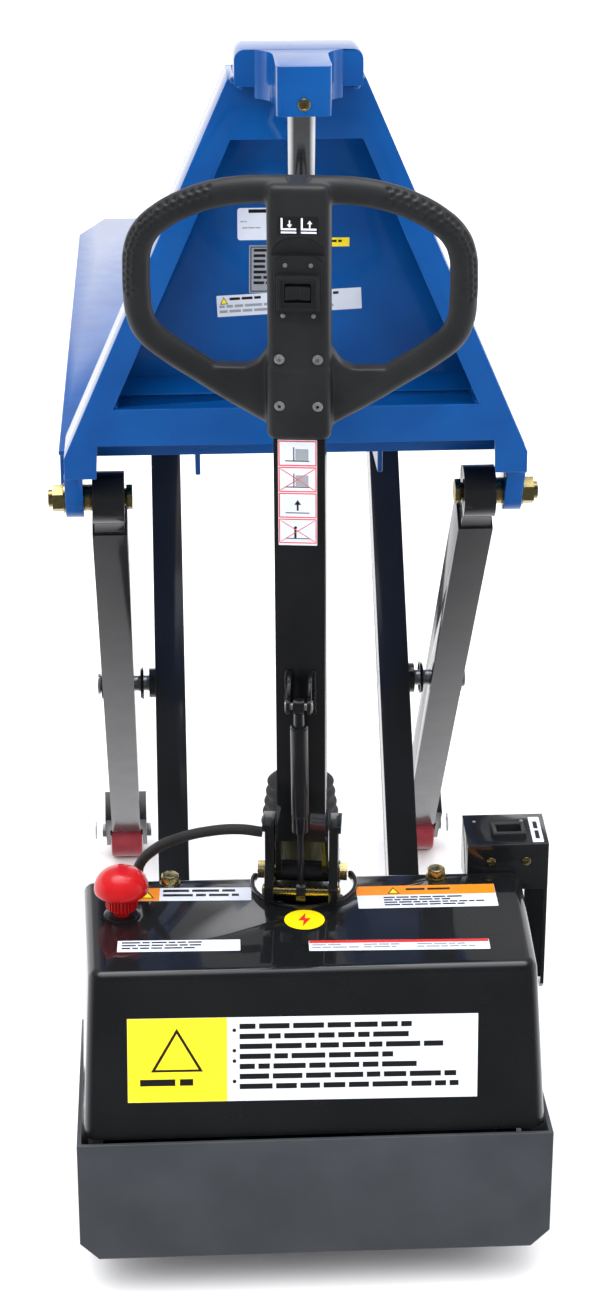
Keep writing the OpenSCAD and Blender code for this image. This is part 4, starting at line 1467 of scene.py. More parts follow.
@dataclass
class PowerPack:
    """The boxed power pack over the steering wheels, measured from the rear scissor pivots.

    Attributes:
        foot: Half width, front and back of the cover's lower edge.
        foot_z: Height of the cover's lower edge.
        crown: Half width, front and back of the cover's top, at its front corners.
        crown_z: Height of the cover's top.
        notch: Radius of the round notch for the tiller bracket.
        stop: Where the emergency stop stands.
        bolts: Where the right cover bolt stands.
        gland: Where the handle cable enters.
    """

    foot: tuple[float, float, float] = (0.246, -0.440, -0.190)
    foot_z: float = 0.1933
    crown: tuple[float, float, float] = (0.236, -0.404, -0.190)
    crown_z: float = 0.372
    notch: float = 0.055
    stop: tuple[float, float] = (-0.202, -0.274)
    bolts: tuple[float, float] = (0.149, -0.203)
    gland: tuple[float, float] = (-0.185, -0.206)

    def build(self) -> None:
        """Build the cover and all that is fixed on it."""
        self._cover()
        self._lip()
        self._notch_shade_plate()
        self._bolt_heads()
        # A dark plate standing in for the shade inside the notch.
        self._stop_button()
        self._stop_skirt()
        self._stop_collar()
        self._films()
        self._front_film()
        self._gland()

    def _cover(self) -> None:
        """Shape the tapered cover from a box: taper, round, notch and hollow it."""
        wide, front, back = self.foot
        cover = block("cover_shell", (-wide, front, self.foot_z), (wide, back, self.crown_z))
        with Editing(cover) as edit:
            edit.pick("VERT", lambda spot, way: spot.z > self.crown_z - 0.001 and spot.y < front + 0.001)
            bpy.ops.transform.translate(value=(0, self.crown[1] - front, 0))
            bpy.ops.transform.resize(value=(self.crown[0] / wide, 1, 1), center_override=(0, 0, 0))
            edit.pick("EDGE", lambda spot, way: abs(way.z) > 0.5 and spot.y > -0.25)
            bpy.ops.mesh.bevel(offset=0.0125, segments=5, affect="EDGES")
            edit.pick("EDGE", lambda spot, way: abs(way.z) > 0.5 and spot.y < -0.40)
            bpy.ops.mesh.bevel(offset=0.0150, segments=6, affect="EDGES")
            edit.pick("FACE", lambda spot, normal: normal.z > 0.9)
            bpy.ops.mesh.region_to_loop()
            bpy.ops.mesh.bevel(offset=0.0105, segments=6, affect="EDGES")
            bpy.ops.mesh.select_all(action="SELECT")
            bpy.ops.mesh.normals_make_consistent(inside=False)
        throat = self.notch + 0.0005
        carve(cover, rod("notch", (0, STEER_Y, 0.1), (0, STEER_Y, 0.5), self.notch, 72))
        carve(cover, block("throat", (-throat, STEER_Y, 0.1), (throat, -0.1, 0.5)))
        bolt_x, bolt_y = self.bolts
        holes = (((bolt_x, bolt_y), 0.0042), ((-bolt_x, bolt_y), 0.0042), (self.stop, 0.0112),
                 (self.gland, 0.0082))
        for spot, hole in holes:
            carve(cover, rod("hole", (*spot, 0.30), (*spot, 0.45), hole, 32))
        room = wide - 0.009
        carve(cover, block("inside", (-room, front + 0.020, 0.1), (room, back - 0.004, self.foot_z + 0.06)))
        soften(cover, 0.0009, 2, 50)
        complete(cover, COVER, "chassis", Places.machine, ["cover"], 40)

    def _lip(self) -> None:
        """Bend the raised lip that guards the notch."""
        inner, outer = self.notch, self.notch + 0.0052
        profile = [(inner, -0.004), (outer, -0.004), (outer, 0.003), (inner + 0.0040, 0.0042),
                   (inner + 0.0012, 0.0042), (inner, 0.003)]
        lip = lathe("cover_lip", profile, (0, STEER_Y, self.crown_z), 72, looped=True)
        with Editing(lip):
            bpy.ops.mesh.bisect(plane_co=(0, -0.1915, 0), plane_no=(0, 1, 0), clear_outer=True, use_fill=True)
        soften(lip, 0.0006, 2, 40)
        complete(lip, COVER, "chassis", Places.machine)

    def _notch_shade_plate(self) -> None:
        """Turn the black plate that closes the notch round the steering bearing, a dark sheet standing in for
        the shade inside the notch.
        """
        inner, outer, low, high = 0.0283, self.notch - 0.0008, 0.338, 0.341
        shade_plate = lathe("notch_shade_plate", [(inner, low), (outer, low), (outer, high), (inner, high)],
                      (0, STEER_Y, 0), 64, looped=True)
        carve(shade_plate, rod("cylinder_room", (0, RAM_Y, 0.3), (0, RAM_Y, 0.4), 0.0312, 64))
        complete(shade_plate, BLACK, "chassis", Places.machine)

    def _bolt_heads(self) -> None:
        """Fit the two plated cover bolts."""
        head = hex_head("cover_bolt", 0.019, 0.0095, 0.0115)
        moves = [Matrix.Translation((side * self.bolts[0], self.bolts[1], self.crown_z)) for side in (-1, 1)]
        bolts = spread("cover_bolt_heads", head, moves)
        complete(bolts, GOLD, "chassis", Places.machine, ["cover_bolts"])

    def _stop_button(self) -> None:
        """Turn the mushroom button with its stem."""
        dome = [(0.0, -0.026), (0.0088, -0.026), (0.0088, 0.0088), (0.0155, 0.0094), (0.0160, 0.0250)]
        dome += [(0.0200, 0.0268), (0.0276, 0.0284), (0.0294, 0.0302)]
        dome += [(0.0298 * math.cos(a) ** 0.8, 0.0330 + 0.0238 * math.sin(a))
                 for a in (math.radians(90 * step / 14) for step in range(14))]
        dome += [(0.0, 0.0568)]
        button = lathe("stop_mushroom", dome, (*self.stop, self.crown_z), 64)
        complete(button, RED, "stop_knob", Places.machine, ["stop_button"], 40)

    def _stop_skirt(self) -> None:
        """Set the ribs round the button's skirt."""
        rib = block("rib", (0.0146, -0.0008, 0.0104), (0.0176, 0.0008, 0.0240))
        centre = Matrix.Translation((*self.stop, self.crown_z))
        moves = [centre @ Matrix.Rotation(2 * math.pi * step / 28, 4, "Z") for step in range(28)]
        grip = spread("stop_skirt_ribs", rib, moves)
        soften(grip, 0.0003, 1)
        dress(grip, RED)
        settle(grip, "stop_knob", Places.machine)

    def _stop_collar(self) -> None:
        """Turn the low collar that the button's stem runs through."""
        bore, wide = 0.0093, 0.0200
        profile = [(bore, 0.0), (wide, 0.0), (wide, 0.0012), (0.0186, 0.0020), (0.0125, 0.0020),
                   (bore, 0.0020)]
        collar = lathe("stop_base", profile, (*self.stop, self.crown_z), 56, looped=True)
        complete(collar, BLACK, "chassis", Places.machine, ["stop_collar"])

    def _films(self) -> None:
        """Lay the printed films on the cover's top."""
        left_back = PrintedFilm("film_left_back", (0.129, 0.030), WHITE_FILM, [
            Mark(Shape.BAR, ORANGE_FILM, (-0.0642, -0.0148), (-0.0370, 0.0148)),
            Mark(Shape.TRIANGLE, BLACK_FILM, (-0.0590, -0.0090), (-0.0425, 0.0080)),
            Mark(Shape.TRIANGLE, YELLOW_FILM, (-0.0566, -0.0074), (-0.0449, 0.0046)),
            Mark(Shape.WORDS, BLACK_FILM, (-0.0330, -0.0100), (0.0600, 0.0105), rows=2),
        ], seed=5)
        left_front = PrintedFilm("film_left_front", (0.131, 0.024), WHITE_FILM, [
            Mark(Shape.WORDS, BLACK_FILM, (-0.0610, -0.0090), (0.0600, 0.0090), rows=3)], seed=8)
        right_back = PrintedFilm("film_right_back", (0.154, 0.051), WHITE_FILM, [
            Mark(Shape.BAR, ORANGE_FILM, (-0.0768, 0.0040), (0.0768, 0.0253)),
            Mark(Shape.TRIANGLE, BLACK_FILM, (-0.0430, 0.0070), (-0.0290, 0.0220)),
            Mark(Shape.TRIANGLE, YELLOW_FILM, (-0.0408, 0.0084), (-0.0312, 0.0188)),
            Mark(Shape.WORDS, BLACK_FILM, (-0.0220, 0.0100), (0.0400, 0.0190)),
            Mark(Shape.WORDS, BLACK_FILM, (-0.0480, -0.0225), (0.0640, 0.0000), rows=4),
        ], seed=11)
        right_front = PrintedFilm("film_right_front", (0.193, 0.022), WHITE_FILM, [
            Mark(Shape.BAR, RED_FILM, (-0.0960, 0.0052), (0.0960, 0.0108)),
            Mark(Shape.WORDS, GREY_FILM, (-0.0930, -0.0080), (-0.0420, 0.0030), rows=2),
            Mark(Shape.WORDS, GREY_FILM, (-0.0380, -0.0080), (0.0140, 0.0030), rows=2),
            Mark(Shape.WORDS, GREY_FILM, (0.0190, -0.0080), (0.0900, 0.0030), rows=2),
        ], seed=14)
        disc = PrintedFilm("film_power_sign", (0.044, 0.044), YELLOW_FILM, [
            Mark(Shape.BOLT, RED_FILM, (-0.0085, -0.0150), (0.0085, 0.0150))])
        rim = [(0.022 * math.cos(math.radians(8 * step)), 0.022 * math.sin(math.radians(8 * step)))
               for step in range(45)]
        spots = (
            (left_back.build(), (-0.124, -0.231), -2.0), (left_front.build(), (-0.141, -0.346), -1.5),
            (right_back.build(), (0.134, -0.249), -0.5), (right_front.build(), (0.094, -0.356), -1.6),
            (disc.build(rim), (-0.004, -0.2955), 0.0),
        )
        for film, (x, y), degrees in spots:
            turn = Matrix.Rotation(math.radians(degrees), 4, "Z")
            place = Matrix.Translation((x, y, self.crown_z)) @ turn @ FACING_UP
            settle(film, "chassis", Places.machine @ place)

    def _front_film(self) -> None:
        """Lay the large film on the cover's sloping front."""
        rise = self.crown_z - self.foot_z
        slope = math.atan2(self.crown[1] - self.foot[1], rise)
        marks = [
            Mark(Shape.BAR, YELLOW_FILM, (-0.1849, -0.0461), (-0.0800, 0.0461)),
            Mark(Shape.TRIANGLE, BLACK_FILM, (-0.1605, -0.0130), (-0.1055, 0.0350)),
            Mark(Shape.TRIANGLE, YELLOW_FILM, (-0.1556, -0.0104), (-0.1104, 0.0292)),
            Mark(Shape.WORDS, BLACK_FILM, (-0.1720, -0.0350), (-0.0900, -0.0210)),
        ]
        for low, high in ((0.0300, 0.0340), (0.0075, 0.0115), (-0.0040, 0.0000), (-0.0265, -0.0225)):
            marks.append(Mark(Shape.DISC, BLACK_FILM, (-0.0745, low), (-0.0705, high)))
        marks.append(Mark(Shape.WORDS, BLACK_FILM, (-0.0670, -0.0385), (0.1720, 0.0390), rows=7))
        film = PrintedFilm("film_front", (0.3700, 0.0925), WHITE_FILM, marks, corner=0.0004, seed=21).build()
        middle = 0.277
        share = (middle - self.foot_z) / rise
        depth = self.foot[1] + share * (self.crown[1] - self.foot[1])
        place = Matrix.Translation((-0.0125, depth - 0.0001, middle)) @ Matrix.Rotation(-slope, 4, "X")
        tilt = Matrix.Rotation(math.radians(0.6), 4, "Y")
        settle(film, "chassis", Places.machine @ place @ tilt)

    def _gland(self) -> None:
        """Turn the ribbed gland that the handle cable goes into."""
        profile = [(0.0, -0.012), (0.0078, -0.012), (0.0078, 0.0)]
        for step in range(4):
            low = 0.0030 * step
            radius = 0.0112 - 0.0007 * step
            profile += [(radius, low), (radius, low + 0.0020), (radius - 0.0012, low + 0.0024),
                        (radius - 0.0012, low + 0.0030)]
        profile += [(0.0, 0.012)]
        boot = lathe("cable_boot", profile, (*self.gland, self.crown_z), 40)
        complete(boot, RUBBER, "chassis", Places.machine, ["cable_gland"])


@dataclass
class Charger:
    """The charging socket's box at the right of the cover.

    Attributes:
        low: Lowest corner of the box.
        high: Highest corner of the box.
        screws: Where the screws sit across the machine.
    """

    low: tuple[float, float, float] = (0.186, -0.188, 0.345)
    high: tuple[float, float, float] = (0.278, -0.128, 0.410)
    screws: tuple[float, float] = (0.213, 0.253)

    def build(self) -> None:
        """Fit the rivets, the screws, the film and the fold on the box."""
        dome = [(0, 0), (0.0021, 0), (0.0018, 0.0008), (0.0010, 0.0012), (0, 0.0013)]
        moves = [Matrix.Translation((x, -0.142, 0.4083)) for x in (self.low[0] + 0.012, self.high[0] - 0.026)]
        rivets = spread("socket_rivets", lathe("rivet", dome, steps=20), moves)
        complete(rivets, STEEL, "chassis", Places.machine)
        head = socket_screw("charger_screw", 0.0052, 0.0028, 0.0030)
        moves = [Matrix.Translation((x, -0.1879, 0.381)) @ TO_FRONT for x in self.screws]
        screws = spread("charger_screw_heads", head, moves)
        complete(screws, GOLD, "chassis", Places.machine, ["charger_screws"])
        self._film()
        rail = block("charger_fold", (self.low[0], -0.1892, 0.3985), (self.high[0], -0.1876, 0.4025))
        soften(rail, 0.0006, 2)
        complete(rail, ARM, "chassis", Places.machine)

    def _film(self) -> None:
        """Lay the small film beside the socket, on the box's sloping top."""
        slope = math.atan2(0.008, 0.060)
        film = PrintedFilm("film_socket", (0.0125, 0.050), WHITE_FILM,
                           [Mark(Shape.BAR, BLACK_FILM, (-0.0022, -0.018), (0.0026, -0.002)),
                            Mark(Shape.BAR, BLACK_FILM, (-0.0022, 0.002), (0.0026, 0.016))]).build()
        place = Matrix.Translation((0.2665, -0.160, 0.4059)) @ Matrix.Rotation(slope, 4, "X") @ FACING_UP
        settle(film, "chassis", Places.machine @ place)


# ---------------------------------------------------------------- fork frame


@dataclass
class Mast:
    """Welds, films and crosshead of the fork frame, measured from the rear scissor pivots.

    Attributes:
        face_y: Front of the mast's faces.
        panel_y: Front of the recessed back panel.
        foot: Half width and height of the mast's lower corner.
        top: Half width and height of its upper corner.
        face: Width of a face.
        beam: Lower and upper edge of the cross beam.
        head: Lower and upper face of the crosshead.
        screw_z: Height of the crosshead's set screw.
    """

    face_y: float = -0.060
    panel_y: float = 0.020
    foot: tuple[float, float] = (0.257, 0.824)
    top: tuple[float, float] = (0.073, 1.240)
    face: float = 0.031
    beam: tuple[float, float] = (0.838, 0.880)
    head: tuple[float, float] = (1.240, 1.277)
    screw_z: float = 1.239

    def edge(self, height: float) -> float:
        """Half width of the mast at a height."""
        share = (height - self.foot[1]) / (self.top[1] - self.foot[1])
        return self.foot[0] + share * (self.top[0] - self.foot[0])

    def build(self) -> None:
        """Build the crosshead, the welds, the films and the stiffeners."""
        self._crosshead()
        self._set_screw()
        self._welds()
        self._films()
        self._panel_bend()

    def _crosshead(self) -> None:
        """Shape the crosshead: ears on the mast, a waisted nose over the ram."""
        low, high = self.head
        waist = [(0.0455, -0.098)]
        waist += arc((0.0620, -0.128), 0.0338, 120, 184, 8)
        waist += [(0.0280, -0.1560), (0.0284, -0.1880), (0.0268, -0.1940), (0.0228, -0.1965)]
        outline = waist + [(-x, y) for x, y in reversed(waist)] + [(-0.046, -0.072), (0.046, -0.072)]
        nose = plate("nose", [(x, y, low - 0.013) for x, y in outline], (0, 0, high - low + 0.013))
        ears = block("ears", (-0.067, -0.098, low - 0.001), (0.067, -0.044, high))
        with Editing(ears) as edit:
            edit.pick("EDGE", lambda spot, way: abs(way.y) > 0.9 and spot.z > high - 0.001)
            bpy.ops.mesh.bevel(offset=0.011, segments=6, affect="EDGES")
        carve(nose, ears, "UNION")
        carve(nose, rod("ram", (0, RAM_Y, low - 0.03), (0, RAM_Y, high - 0.012), 0.0151, 48))
        carve(nose, rod("tapping", (0, -0.21, self.screw_z), (0, -0.159, self.screw_z), 0.0052, 32))
        carve(nose, block("mast_side", (-0.08, self.face_y, low - 0.02), (0.08, -0.04, low)))
        soften(nose, 0.0052, 4, 35)
        nose.name = "crosshead_casting"
        complete(nose, BLUE, "fork_frame", Places.machine, ["crosshead"], 45)

    def _set_screw(self) -> None:
        """Turn the set screw in the crosshead's nose, with its hexagon socket."""
        ring = [(0.0032, 0.0), (0.0064, 0.0), (0.0064, 0.0014), (0.0054, 0.0022), (0.0046, 0.0022),
                (0.0036, 0.0012)]
        screw = lathe("set_screw", ring, steps=36, looped=True)
        core = rod("core", (0, 0, -0.008), (0, 0, 0.0016), 0.0046, 36)
        carve(core, rod("key", (0, 0, 0.0), (0, 0, 0.01), 0.0028, 6))
        both = joined("ram_set_screw", [screw, core])
        place = Places.machine @ Matrix.Translation((0, -0.1962, self.screw_z)) @ TO_FRONT
        complete(both, GOLD, "fork_frame", place, ["crosshead_screw"])

    def _welds(self) -> None:
        """Lay the weld beads that show: each row has its seed, both ends on the right side and half width."""
        y = self.face_y
        edge = self.edge(self.beam[1]) - self.face - 0.002
        corner = self.foot[0]
        rows = (
            (0, (0.066, y - 0.001, 1.2385), (0.034, y - 0.001, 1.2365), 0.0052),
            (1, (0.060, -0.092, 1.2392), (0.060, -0.062, 1.2392), 0.0050),
            (2, (0.034, -0.094, 1.2375), (0.034, -0.062, 1.2375), 0.0046),
            (3, (edge, y + 0.0065, 0.8810), (edge, -0.002, 0.8812), 0.0036),
            (5, (corner - 0.016, y + 0.012, 0.8005), (corner - 0.002, y + 0.012, 0.7990), 0.0038),
        )
        beads = []
        for side, seed in ((-1, 31), (1, 37)):
            for step, start, end, radius in rows:
                ends = [(side * spot[0], spot[1], spot[2]) for spot in (start, end)]
                beads.append(weld_bead("bead", *ends, radius, seed=seed + step))
        welds = joined("mast_welds", beads)
        dress(welds, BLUE)
        settle(welds, "fork_frame", Places.machine)

    def _films(self) -> None:
        """Lay the printed films on the recessed panel."""
        sheets = (
            (PrintedFilm("film_stock_card", (0.0365, 0.0360), WHITE_FILM, [
                Mark(Shape.BAR, BLACK_FILM, (-0.0060, 0.0125), (0.0150, 0.0165)),
                Mark(Shape.WORDS, GREY_FILM, (-0.0150, 0.0010), (-0.0060, 0.0035)),
                Mark(Shape.WORDS, GREY_FILM, (-0.0130, -0.0060), (0.0080, -0.0035)),
            ], corner=0.003, seed=41), (-0.0428, 1.0660), 0.0),
            (PrintedFilm("data_plate", (0.0440, 0.0540), GREY_FILM, [
                Mark(Shape.FRAME, BLACK_FILM, (-0.0205, -0.0255), (0.0205, 0.0255)),
                Mark(Shape.WORDS, BLACK_FILM, (-0.0170, -0.0200), (0.0160, 0.0230), rows=7),
            ], corner=0.001, seed=43), (-0.0265, 1.0150), 0.5),
            (PrintedFilm("film_origin", (0.0500, 0.0100), YELLOW_FILM, [
                Mark(Shape.WORDS, BLACK_FILM, (0.0000, -0.0025), (0.0230, 0.0025))], corner=0.0004, seed=45),
             (0.0375, 1.0447), 0.0),
            (PrintedFilm("film_notice", (0.1610, 0.0242), PALE_FILM, [
                Mark(Shape.TRIANGLE, BLACK_FILM, (-0.0770, 0.0020), (-0.0680, 0.0105)),
                Mark(Shape.TRIANGLE, YELLOW_FILM, (-0.0758, 0.0028), (-0.0692, 0.0088)),
                Mark(Shape.WORDS, BLACK_FILM, (-0.0660, 0.0035), (-0.0200, 0.0092)),
                Mark(Shape.WORDS, BLACK_FILM, (0.0360, 0.0035), (0.0640, 0.0092)),
                Mark(Shape.WORDS, GREY_FILM, (-0.0780, -0.0105), (0.0760, 0.0010), rows=2),
            ], corner=0.0006, seed=47), (-0.0040, 0.9770), -2.8),
        )
        for sheet, (x, z), turn in sheets:
            place = Matrix.Translation((x, self.panel_y, z)) @ Matrix.Rotation(math.radians(turn), 4, "Y")
            settle(sheet.build(), "fork_frame", Places.machine @ place)

    def _panel_bend(self) -> None:
        """Fold the stiffening ledge along the foot of the recessed panel."""
        low, high = self.beam[1], self.beam[1] + 0.013
        half = self.edge(high) - 0.008
        outline = ((0.001, low), (-0.030, low), (-0.030, low + 0.0025), (-0.002, high), (0.001, high))
        corners = [(-half, self.panel_y + y, z) for y, z in outline]
        fold = plate("panel_fold", corners, (2 * half, 0, 0))
        soften(fold, 0.0016, 3)
        complete(fold, BLUE, "fork_frame", Places.machine)


# ---------------------------------------------------------------- tiller column


@dataclass
class TillerColumn:
    """The tiller's film, gas spring and clevis, the boot round the ram and the handle cable.

    Attributes:
        face: Front face of the tiller tube, across its axis.
        clevis: Clevis pin, along the tiller and in front of its axis.
        eye: Lower pin of the gas spring, depth and height from the rear scissor pivots.
        barrel: Radius of the gas spring's barrel.
        barrel_foot: Distance from the lower pin to the barrel's end.
        boot_foot: Lower end of the bellows.
        cable: Points the handle cable runs through.
        cable_radius: Radius of the handle cable.
    """

    face: float = -0.020
    clevis: tuple[float, float] = (0.236, 0.050)
    eye: tuple[float, float] = (-0.266, 0.391)
    barrel: float = 0.0096
    barrel_foot: float = 0.084
    boot_foot: float = 0.414
    cable: tuple[Point, ...] = (
        (-0.047, -0.241, 0.452), (-0.071, -0.239, 0.455), (-0.105, -0.234, 0.451), (-0.139, -0.226, 0.439),
        (-0.167, -0.214, 0.419), (-0.183, -0.206, 0.396), (-0.185, -0.206, 0.385))
    cable_radius: float = 0.0059

    def build(self) -> None:
        """Build every piece of the column."""
        self._strip()
        self._clevis_plates()
        self._clevis_pin()
        self._clevis_welds()
        self._gas_spring()
        self._boot()
        self._cable()

    def _strip(self) -> None:
        """Lay the strip of four picture panels on the tiller."""
        marks = []
        for row in range(4):
            low = -0.0565 + 0.0289 * row
            high = low + 0.0276
            stand = low + 0.0050
            marks.append(Mark(Shape.FRAME, RED_FILM, (-0.0192, low), (0.0192, high)))
            signs = [(Shape.BAR, BLACK_FILM, (-0.0125, 0.0), (0.0120, 0.0009))]
            if row == 1:
                signs.append((Shape.ARROW, BLACK_FILM, (-0.0035, 0.003), (0.0035, 0.0150)))
            elif row == 0:
                signs.append((Shape.DISC, BLACK_FILM, (-0.0040, 0.0110), (-0.0008, 0.0142)))
                signs.append((Shape.BAR, BLACK_FILM, (-0.0036, 0.0010), (-0.0014, 0.0105)))
            else:
                signs.append((Shape.BAR, GREY_FILM, (-0.0020, 0.0015), (0.0110, 0.0135)))
                signs.append((Shape.BAR, BLACK_FILM, (-0.0042, 0.0005), (-0.0032, 0.0155)))
            marks += [Mark(shape, ink, (start[0], stand + start[1]), (end[0], stand + end[1]))
                      for shape, ink, start, end in signs]
            if row in (0, 2):
                marks.append(Mark(Shape.CROSS, RED_FILM, (-0.0175, low + 0.0018), (0.0175, high - 0.0018)))
        film = PrintedFilm("film_picture_strip", (0.0395, 0.1175), PALE_FILM, marks, corner=0.0006, seed=61)
        settle(film.build(), "tiller", Places.tiller @ Matrix.Translation((-0.0018, self.face, 0.4673)))

    def _clevis_plates(self) -> None:
        """Cut the two plates of the clevis that holds the gas spring's upper eye."""
        t, n = self.clevis
        cheek = [(-0.020, t - 0.024), (-0.020, t + 0.026), (-0.030, t + 0.0235), (-0.0475, t + 0.0115)]
        cheek += [(-n + 0.0088 * math.cos(a) - 0.0002, t + 0.0088 * math.sin(a))
                  for a in (math.radians(70 + 22 * step) for step in range(10))]
        cheek += [(-0.0420, t - 0.0120)]
        cheeks = [plate("cheek", [(x, y, z) for y, z in cheek], (0.004, 0, 0)) for x in (-0.0130, 0.0090)]
        for piece in cheeks:
            soften(piece, 0.0007, 2, 40)
        clevis = joined("spring_clevis_plates", cheeks)
        complete(clevis, BLACK, "tiller", Places.tiller, ["spring_clevis"])

    def _clevis_pin(self) -> None:
        """Turn the clevis pin and the clips on its ends."""
        t, n = self.clevis
        pin = rod("pin", (-0.0148, -n, t), (0.0148, -n, t), 0.004, 32)
        soften(pin, 0.0006, 2)
        ring = lathe("ring", [(0.0042, 0), (0.0064, 0), (0.0064, 0.0012), (0.0042, 0.0012)], steps=32,
                     looped=True)
        moves = [Matrix.Translation((x, -n, t)) @ TO_RIGHT for x in (-0.0145, 0.0132)]
        pins = joined("clevis_pin", [pin, spread("clips", ring, moves)])
        complete(pins, STEEL, "tiller", Places.tiller)

    def _clevis_welds(self) -> None:
        """Lay the two beads that hold the clevis on the tiller."""
        t = self.clevis[0]
        y = self.face - 0.0012
        beads = [weld_bead("bead", (side * 0.0143, y, t - 0.023), (side * 0.0143, y, t + 0.025), 0.0026,
                           seed=70 + side) for side in (-1, 1)]
        welds = joined("clevis_welds", beads)
        dress(welds, BLACK)
        settle(welds, "tiller", Places.tiller)

    def _spring_line(self) -> tuple[Matrix, float]:
        """Place of the gas spring, up from its lower pin, and its length.

        Returns:
            The place in the row frame, and the length between the pins.
        """
        t, n = self.clevis
        high = Places.tiller @ Vector((0, -n, t))
        low = Places.steered @ Vector((0, self.eye[0], self.eye[1]))
        run = high - low
        turn = Matrix.Rotation(STEER_REST, 4, "Z")
        flat = turn.inverted() @ run.to_4d()
        tilt = math.atan2(-flat.y, flat.z)
        return Matrix.Translation(low) @ turn @ Matrix.Rotation(tilt, 4, "X"), run.length

    def _gas_spring(self) -> None:
        """Turn the gas spring's barrel with its collar and neck, and its eye."""
        place, length = self._spring_line()
        foot, top, radius = self.barrel_foot, length - 0.024, self.barrel
        groove, neck, bore = radius - 0.0008, length - 0.0075, 0.0040
        profile = [(bore, foot), (radius - 0.0009, foot), (radius, foot + 0.0009), (radius, foot + 0.0215),
                   (groove, foot + 0.0221), (groove, foot + 0.0229), (radius, foot + 0.0235),
                   (radius, top - 0.0030), (radius - 0.0016, top - 0.0006), (0.0058, top),
                   (0.0055, neck), (bore, neck)]
        barrel = lathe("gas_spring_barrel", profile, steps=56, looped=True)
        eye = rod("eye", (-0.006, 0, length), (0.006, 0, length), 0.0085, 40)
        carve(eye, rod("bore", (-0.02, 0, length), (0.02, 0, length), 0.0044, 32))
        soften(eye, 0.0008, 2)
        whole = joined("gas_spring_barrel", [barrel, eye])
        complete(whole, BLACK, "spring_tube", place, ["gas_spring_tube"])

    def _boot(self) -> None:
        """Turn the rubber bellows over the ram's cylinder."""
        foot, collar, seat, collar_z = self.boot_foot, 0.0302, 0.0256, 0.4655
        profile = [(collar, foot), (0.0360, foot), (0.0366, foot + 0.0022)]
        for step in range(49):
            share = step / 48
            radius = 0.0422 + 0.0024 * math.cos(2 * math.pi * 4 * share) - 0.0070 * share
            profile.append((radius, foot + 0.003 + 0.050 * share))
        profile += [(0.0350, foot + 0.0555), (0.0290, foot + 0.0585), (0.0262, foot + 0.0588),
                    (seat, foot + 0.0580), (seat, collar_z), (collar, collar_z)]
        boot = lathe("ram_bellows", profile, (0.0, RAM_Y, 0.0), 72, looped=True)
        complete(boot, RUBBER, "chassis", Places.machine, ["cylinder_boot"], 50)

    def _cable(self) -> None:
        """Run the handle cable from the tiller's bracket down into its gland."""
        cable = tube_along("handle_cable", self.cable, self.cable_radius, sides=5, per_leg=8)
        smooth(cable, 60)
        dress(cable, RUBBER)
        only(cable)
        cable.matrix_world = Places.machine @ cable.matrix_world
        bpy.ops.object.transform_apply(location=True, rotation=True, scale=True)
        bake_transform(cable)
        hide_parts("cable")
        LOG.info("%s runs from the chassis to the steering", cable.name)


# ---------------------------------------------------------------- scissor


@dataclass
class ScissorArm:
    """Fittings of one pair of scissor arms, in the frames of the arms.

    Attributes:
        outer_x: Middle plane of an outer arm.
        inner_x: Middle plane of an inner arm.
        length: Distance between an arm's end pivots.
    """

    outer_x: float = 0.225
    inner_x: float = 0.159
    length: float = ARM_LENGTH

    def build(self) -> None:
        """Fit the boss bolts, the washers and the welds on both sides."""
        for side, name in ((-1, "left"), (1, "right")):
            mirror = Matrix.Scale(side, 4, (1, 0, 0))
            outer = Places.outer_arm @ mirror
            inner = Places.inner_arm @ mirror
            self._boss_bolt(name, outer)
            self._wheel_washers(name, outer)
            self._mid_weld(name, inner)

    def _boss_bolt(self, name: str, place: Matrix) -> None:
        """Fit the bolt head and washer on the inner side of the top boss.

        Args:
            name: Side of the arm.
            place: The arm's frame.
        """
        head = hex_head("boss_head", 0.019, 0.0075, 0.0135)
        inward = Matrix.Translation((self.outer_x - 0.0180, 0, 0)) @ Matrix.Rotation(-math.pi / 2, 4, "Y")
        complete(spread(f"boss_bolt_{name}", head, [inward]), STEEL, f"outer_{name}", place)

    def _wheel_washers(self, name: str, place: Matrix) -> None:
        """Fit the lock washers under the load wheel's axle nuts.

        Args:
            name: Side of the arm.
            place: The arm's frame.
        """
        ring = lathe("ring", [(0.0084, 0), (0.0132, 0), (0.0132, 0.0012), (0.0084, 0.0012)], steps=36,
                     looped=True)
        moves = [Matrix.Translation((x, self.length, 0)) @ TO_RIGHT
                 for x in (self.outer_x - 0.0300, self.outer_x + 0.0288)]
        complete(spread(f"load_washers_{name}", ring, moves), STEEL, f"outer_{name}", place)

    def _mid_weld(self, name: str, place: Matrix) -> None:
        """Lay the fillet weld round the middle pivot's boss on the inner arm.

        Args:
            name: Side of the arm.
            place: The arm's frame.
        """
        profile = [(0.0188, 0.0), (0.0214, 0.0), (0.0208, 0.0012), (0.0196, 0.0024), (0.0188, 0.0042)]
        ring = lathe("ring", profile, steps=56, looped=True)
        move = Matrix.Translation((self.inner_x + 0.019, self.length / 2, 0)) @ TO_RIGHT
        complete(spread(f"mid_weld_{name}", ring, [move]), ARM, "inner_frame", place)


# ---------------------------------------------------------------- the machine

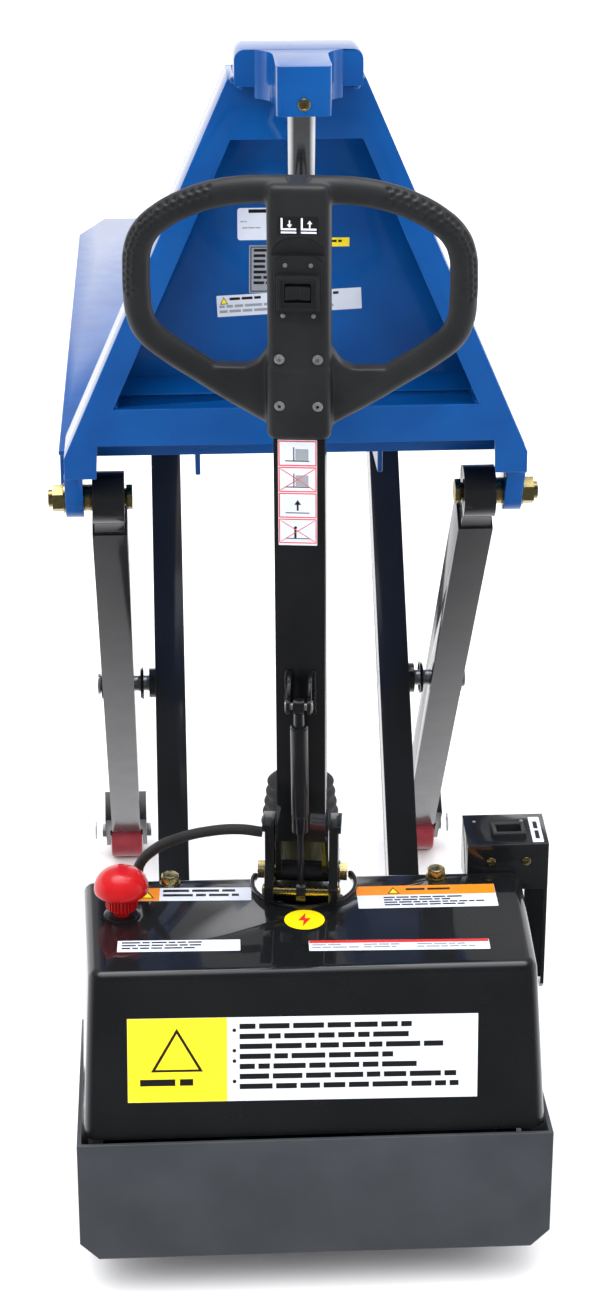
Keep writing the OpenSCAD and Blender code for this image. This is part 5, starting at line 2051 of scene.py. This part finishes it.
PLAIN_PARTS = (
    Fettling("base_frame", BLACK, 0.0012), Fettling("bumper_tray", TRAY, 0.0010),
    Fettling("batteries", BATTERY, 0.003), Fettling("pump_motor", BLACK),
    Fettling("oil_tank", ALLOY, 0.002), Fettling("cylinder_tube", OLIVE),
    Fettling("charger_box", ARM, 0.0012), Fettling("charger_socket", SWITCH),
    Fettling("base_pins", STEEL), Fettling("steer_yoke", BLACK), Fettling("steer_axle", STEEL),
    Fettling("steer_tyre_left", WHEEL, 0.004, 3), Fettling("steer_tyre_right", WHEEL, 0.004, 3),
    Fettling("steer_hub_left", HUB), Fettling("steer_hub_right", HUB),
    Fettling("tiller_bracket", BLACK, 0.001), Fettling("tiller_pivot_bolt", GOLD, 0.0006),
    Fettling("spring_pin", GOLD, 0.0006), Fettling("tiller_tube", BLACK, 0.002, 3),
    Fettling("gas_spring_rod", BLACK), Fettling("inner_arm_left", ARM, 0.003, 3),
    Fettling("inner_arm_right", ARM, 0.003, 3), Fettling("inner_cross_tube", ARM),
    Fettling("mid_pins", STEEL), Fettling("roller_axles", STEEL),
    Fettling("fork_roller_left", WHEEL, 0.003, 3), Fettling("fork_roller_right", WHEEL, 0.003, 3),
    Fettling("outer_arm_left", ARM, 0.003, 3), Fettling("outer_arm_right", ARM, 0.003, 3),
    Fettling("load_axle_left", STEEL), Fettling("load_axle_right", STEEL),
    Fettling("load_wheel_left", WHEEL, 0.003, 3), Fettling("load_wheel_right", WHEEL, 0.003, 3),
    Fettling("left_fork", BLUE, 0.0016, 3), Fettling("right_fork", BLUE, 0.0016, 3),
    Fettling("mast_frame", BLUE, 0.0014, 3), Fettling("back_panel", BLUE, 0.001),
    Fettling("pivot_lugs", BLUE, 0.0016, 3), Fettling("lug_bolts", GOLD, 0.0006),
    Fettling("lug_nuts", GOLD, 0.0006), Fettling("lift_ram", CHROME, 0.0005),
    Fettling("sleeve_lower", CHROME, 0.0006), Fettling("sleeve_upper", CHROME, 0.0006),
)


def main() -> None:
    """Build the studio and the whole machine."""
    logging.basicConfig(level=logging.INFO, format="%(message)s", stream=sys.stdout)
    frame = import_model()
    Studio().build()
    parts = FrameParts(frame)
    for job in PLAIN_PARTS:
        parts.fettle(job)
    TillerHead().build()
    PowerPack().build()
    Charger().build()
    Mast().build()
    TillerColumn().build()
    ScissorArm().build()


if __name__ == "__main__":
    main()
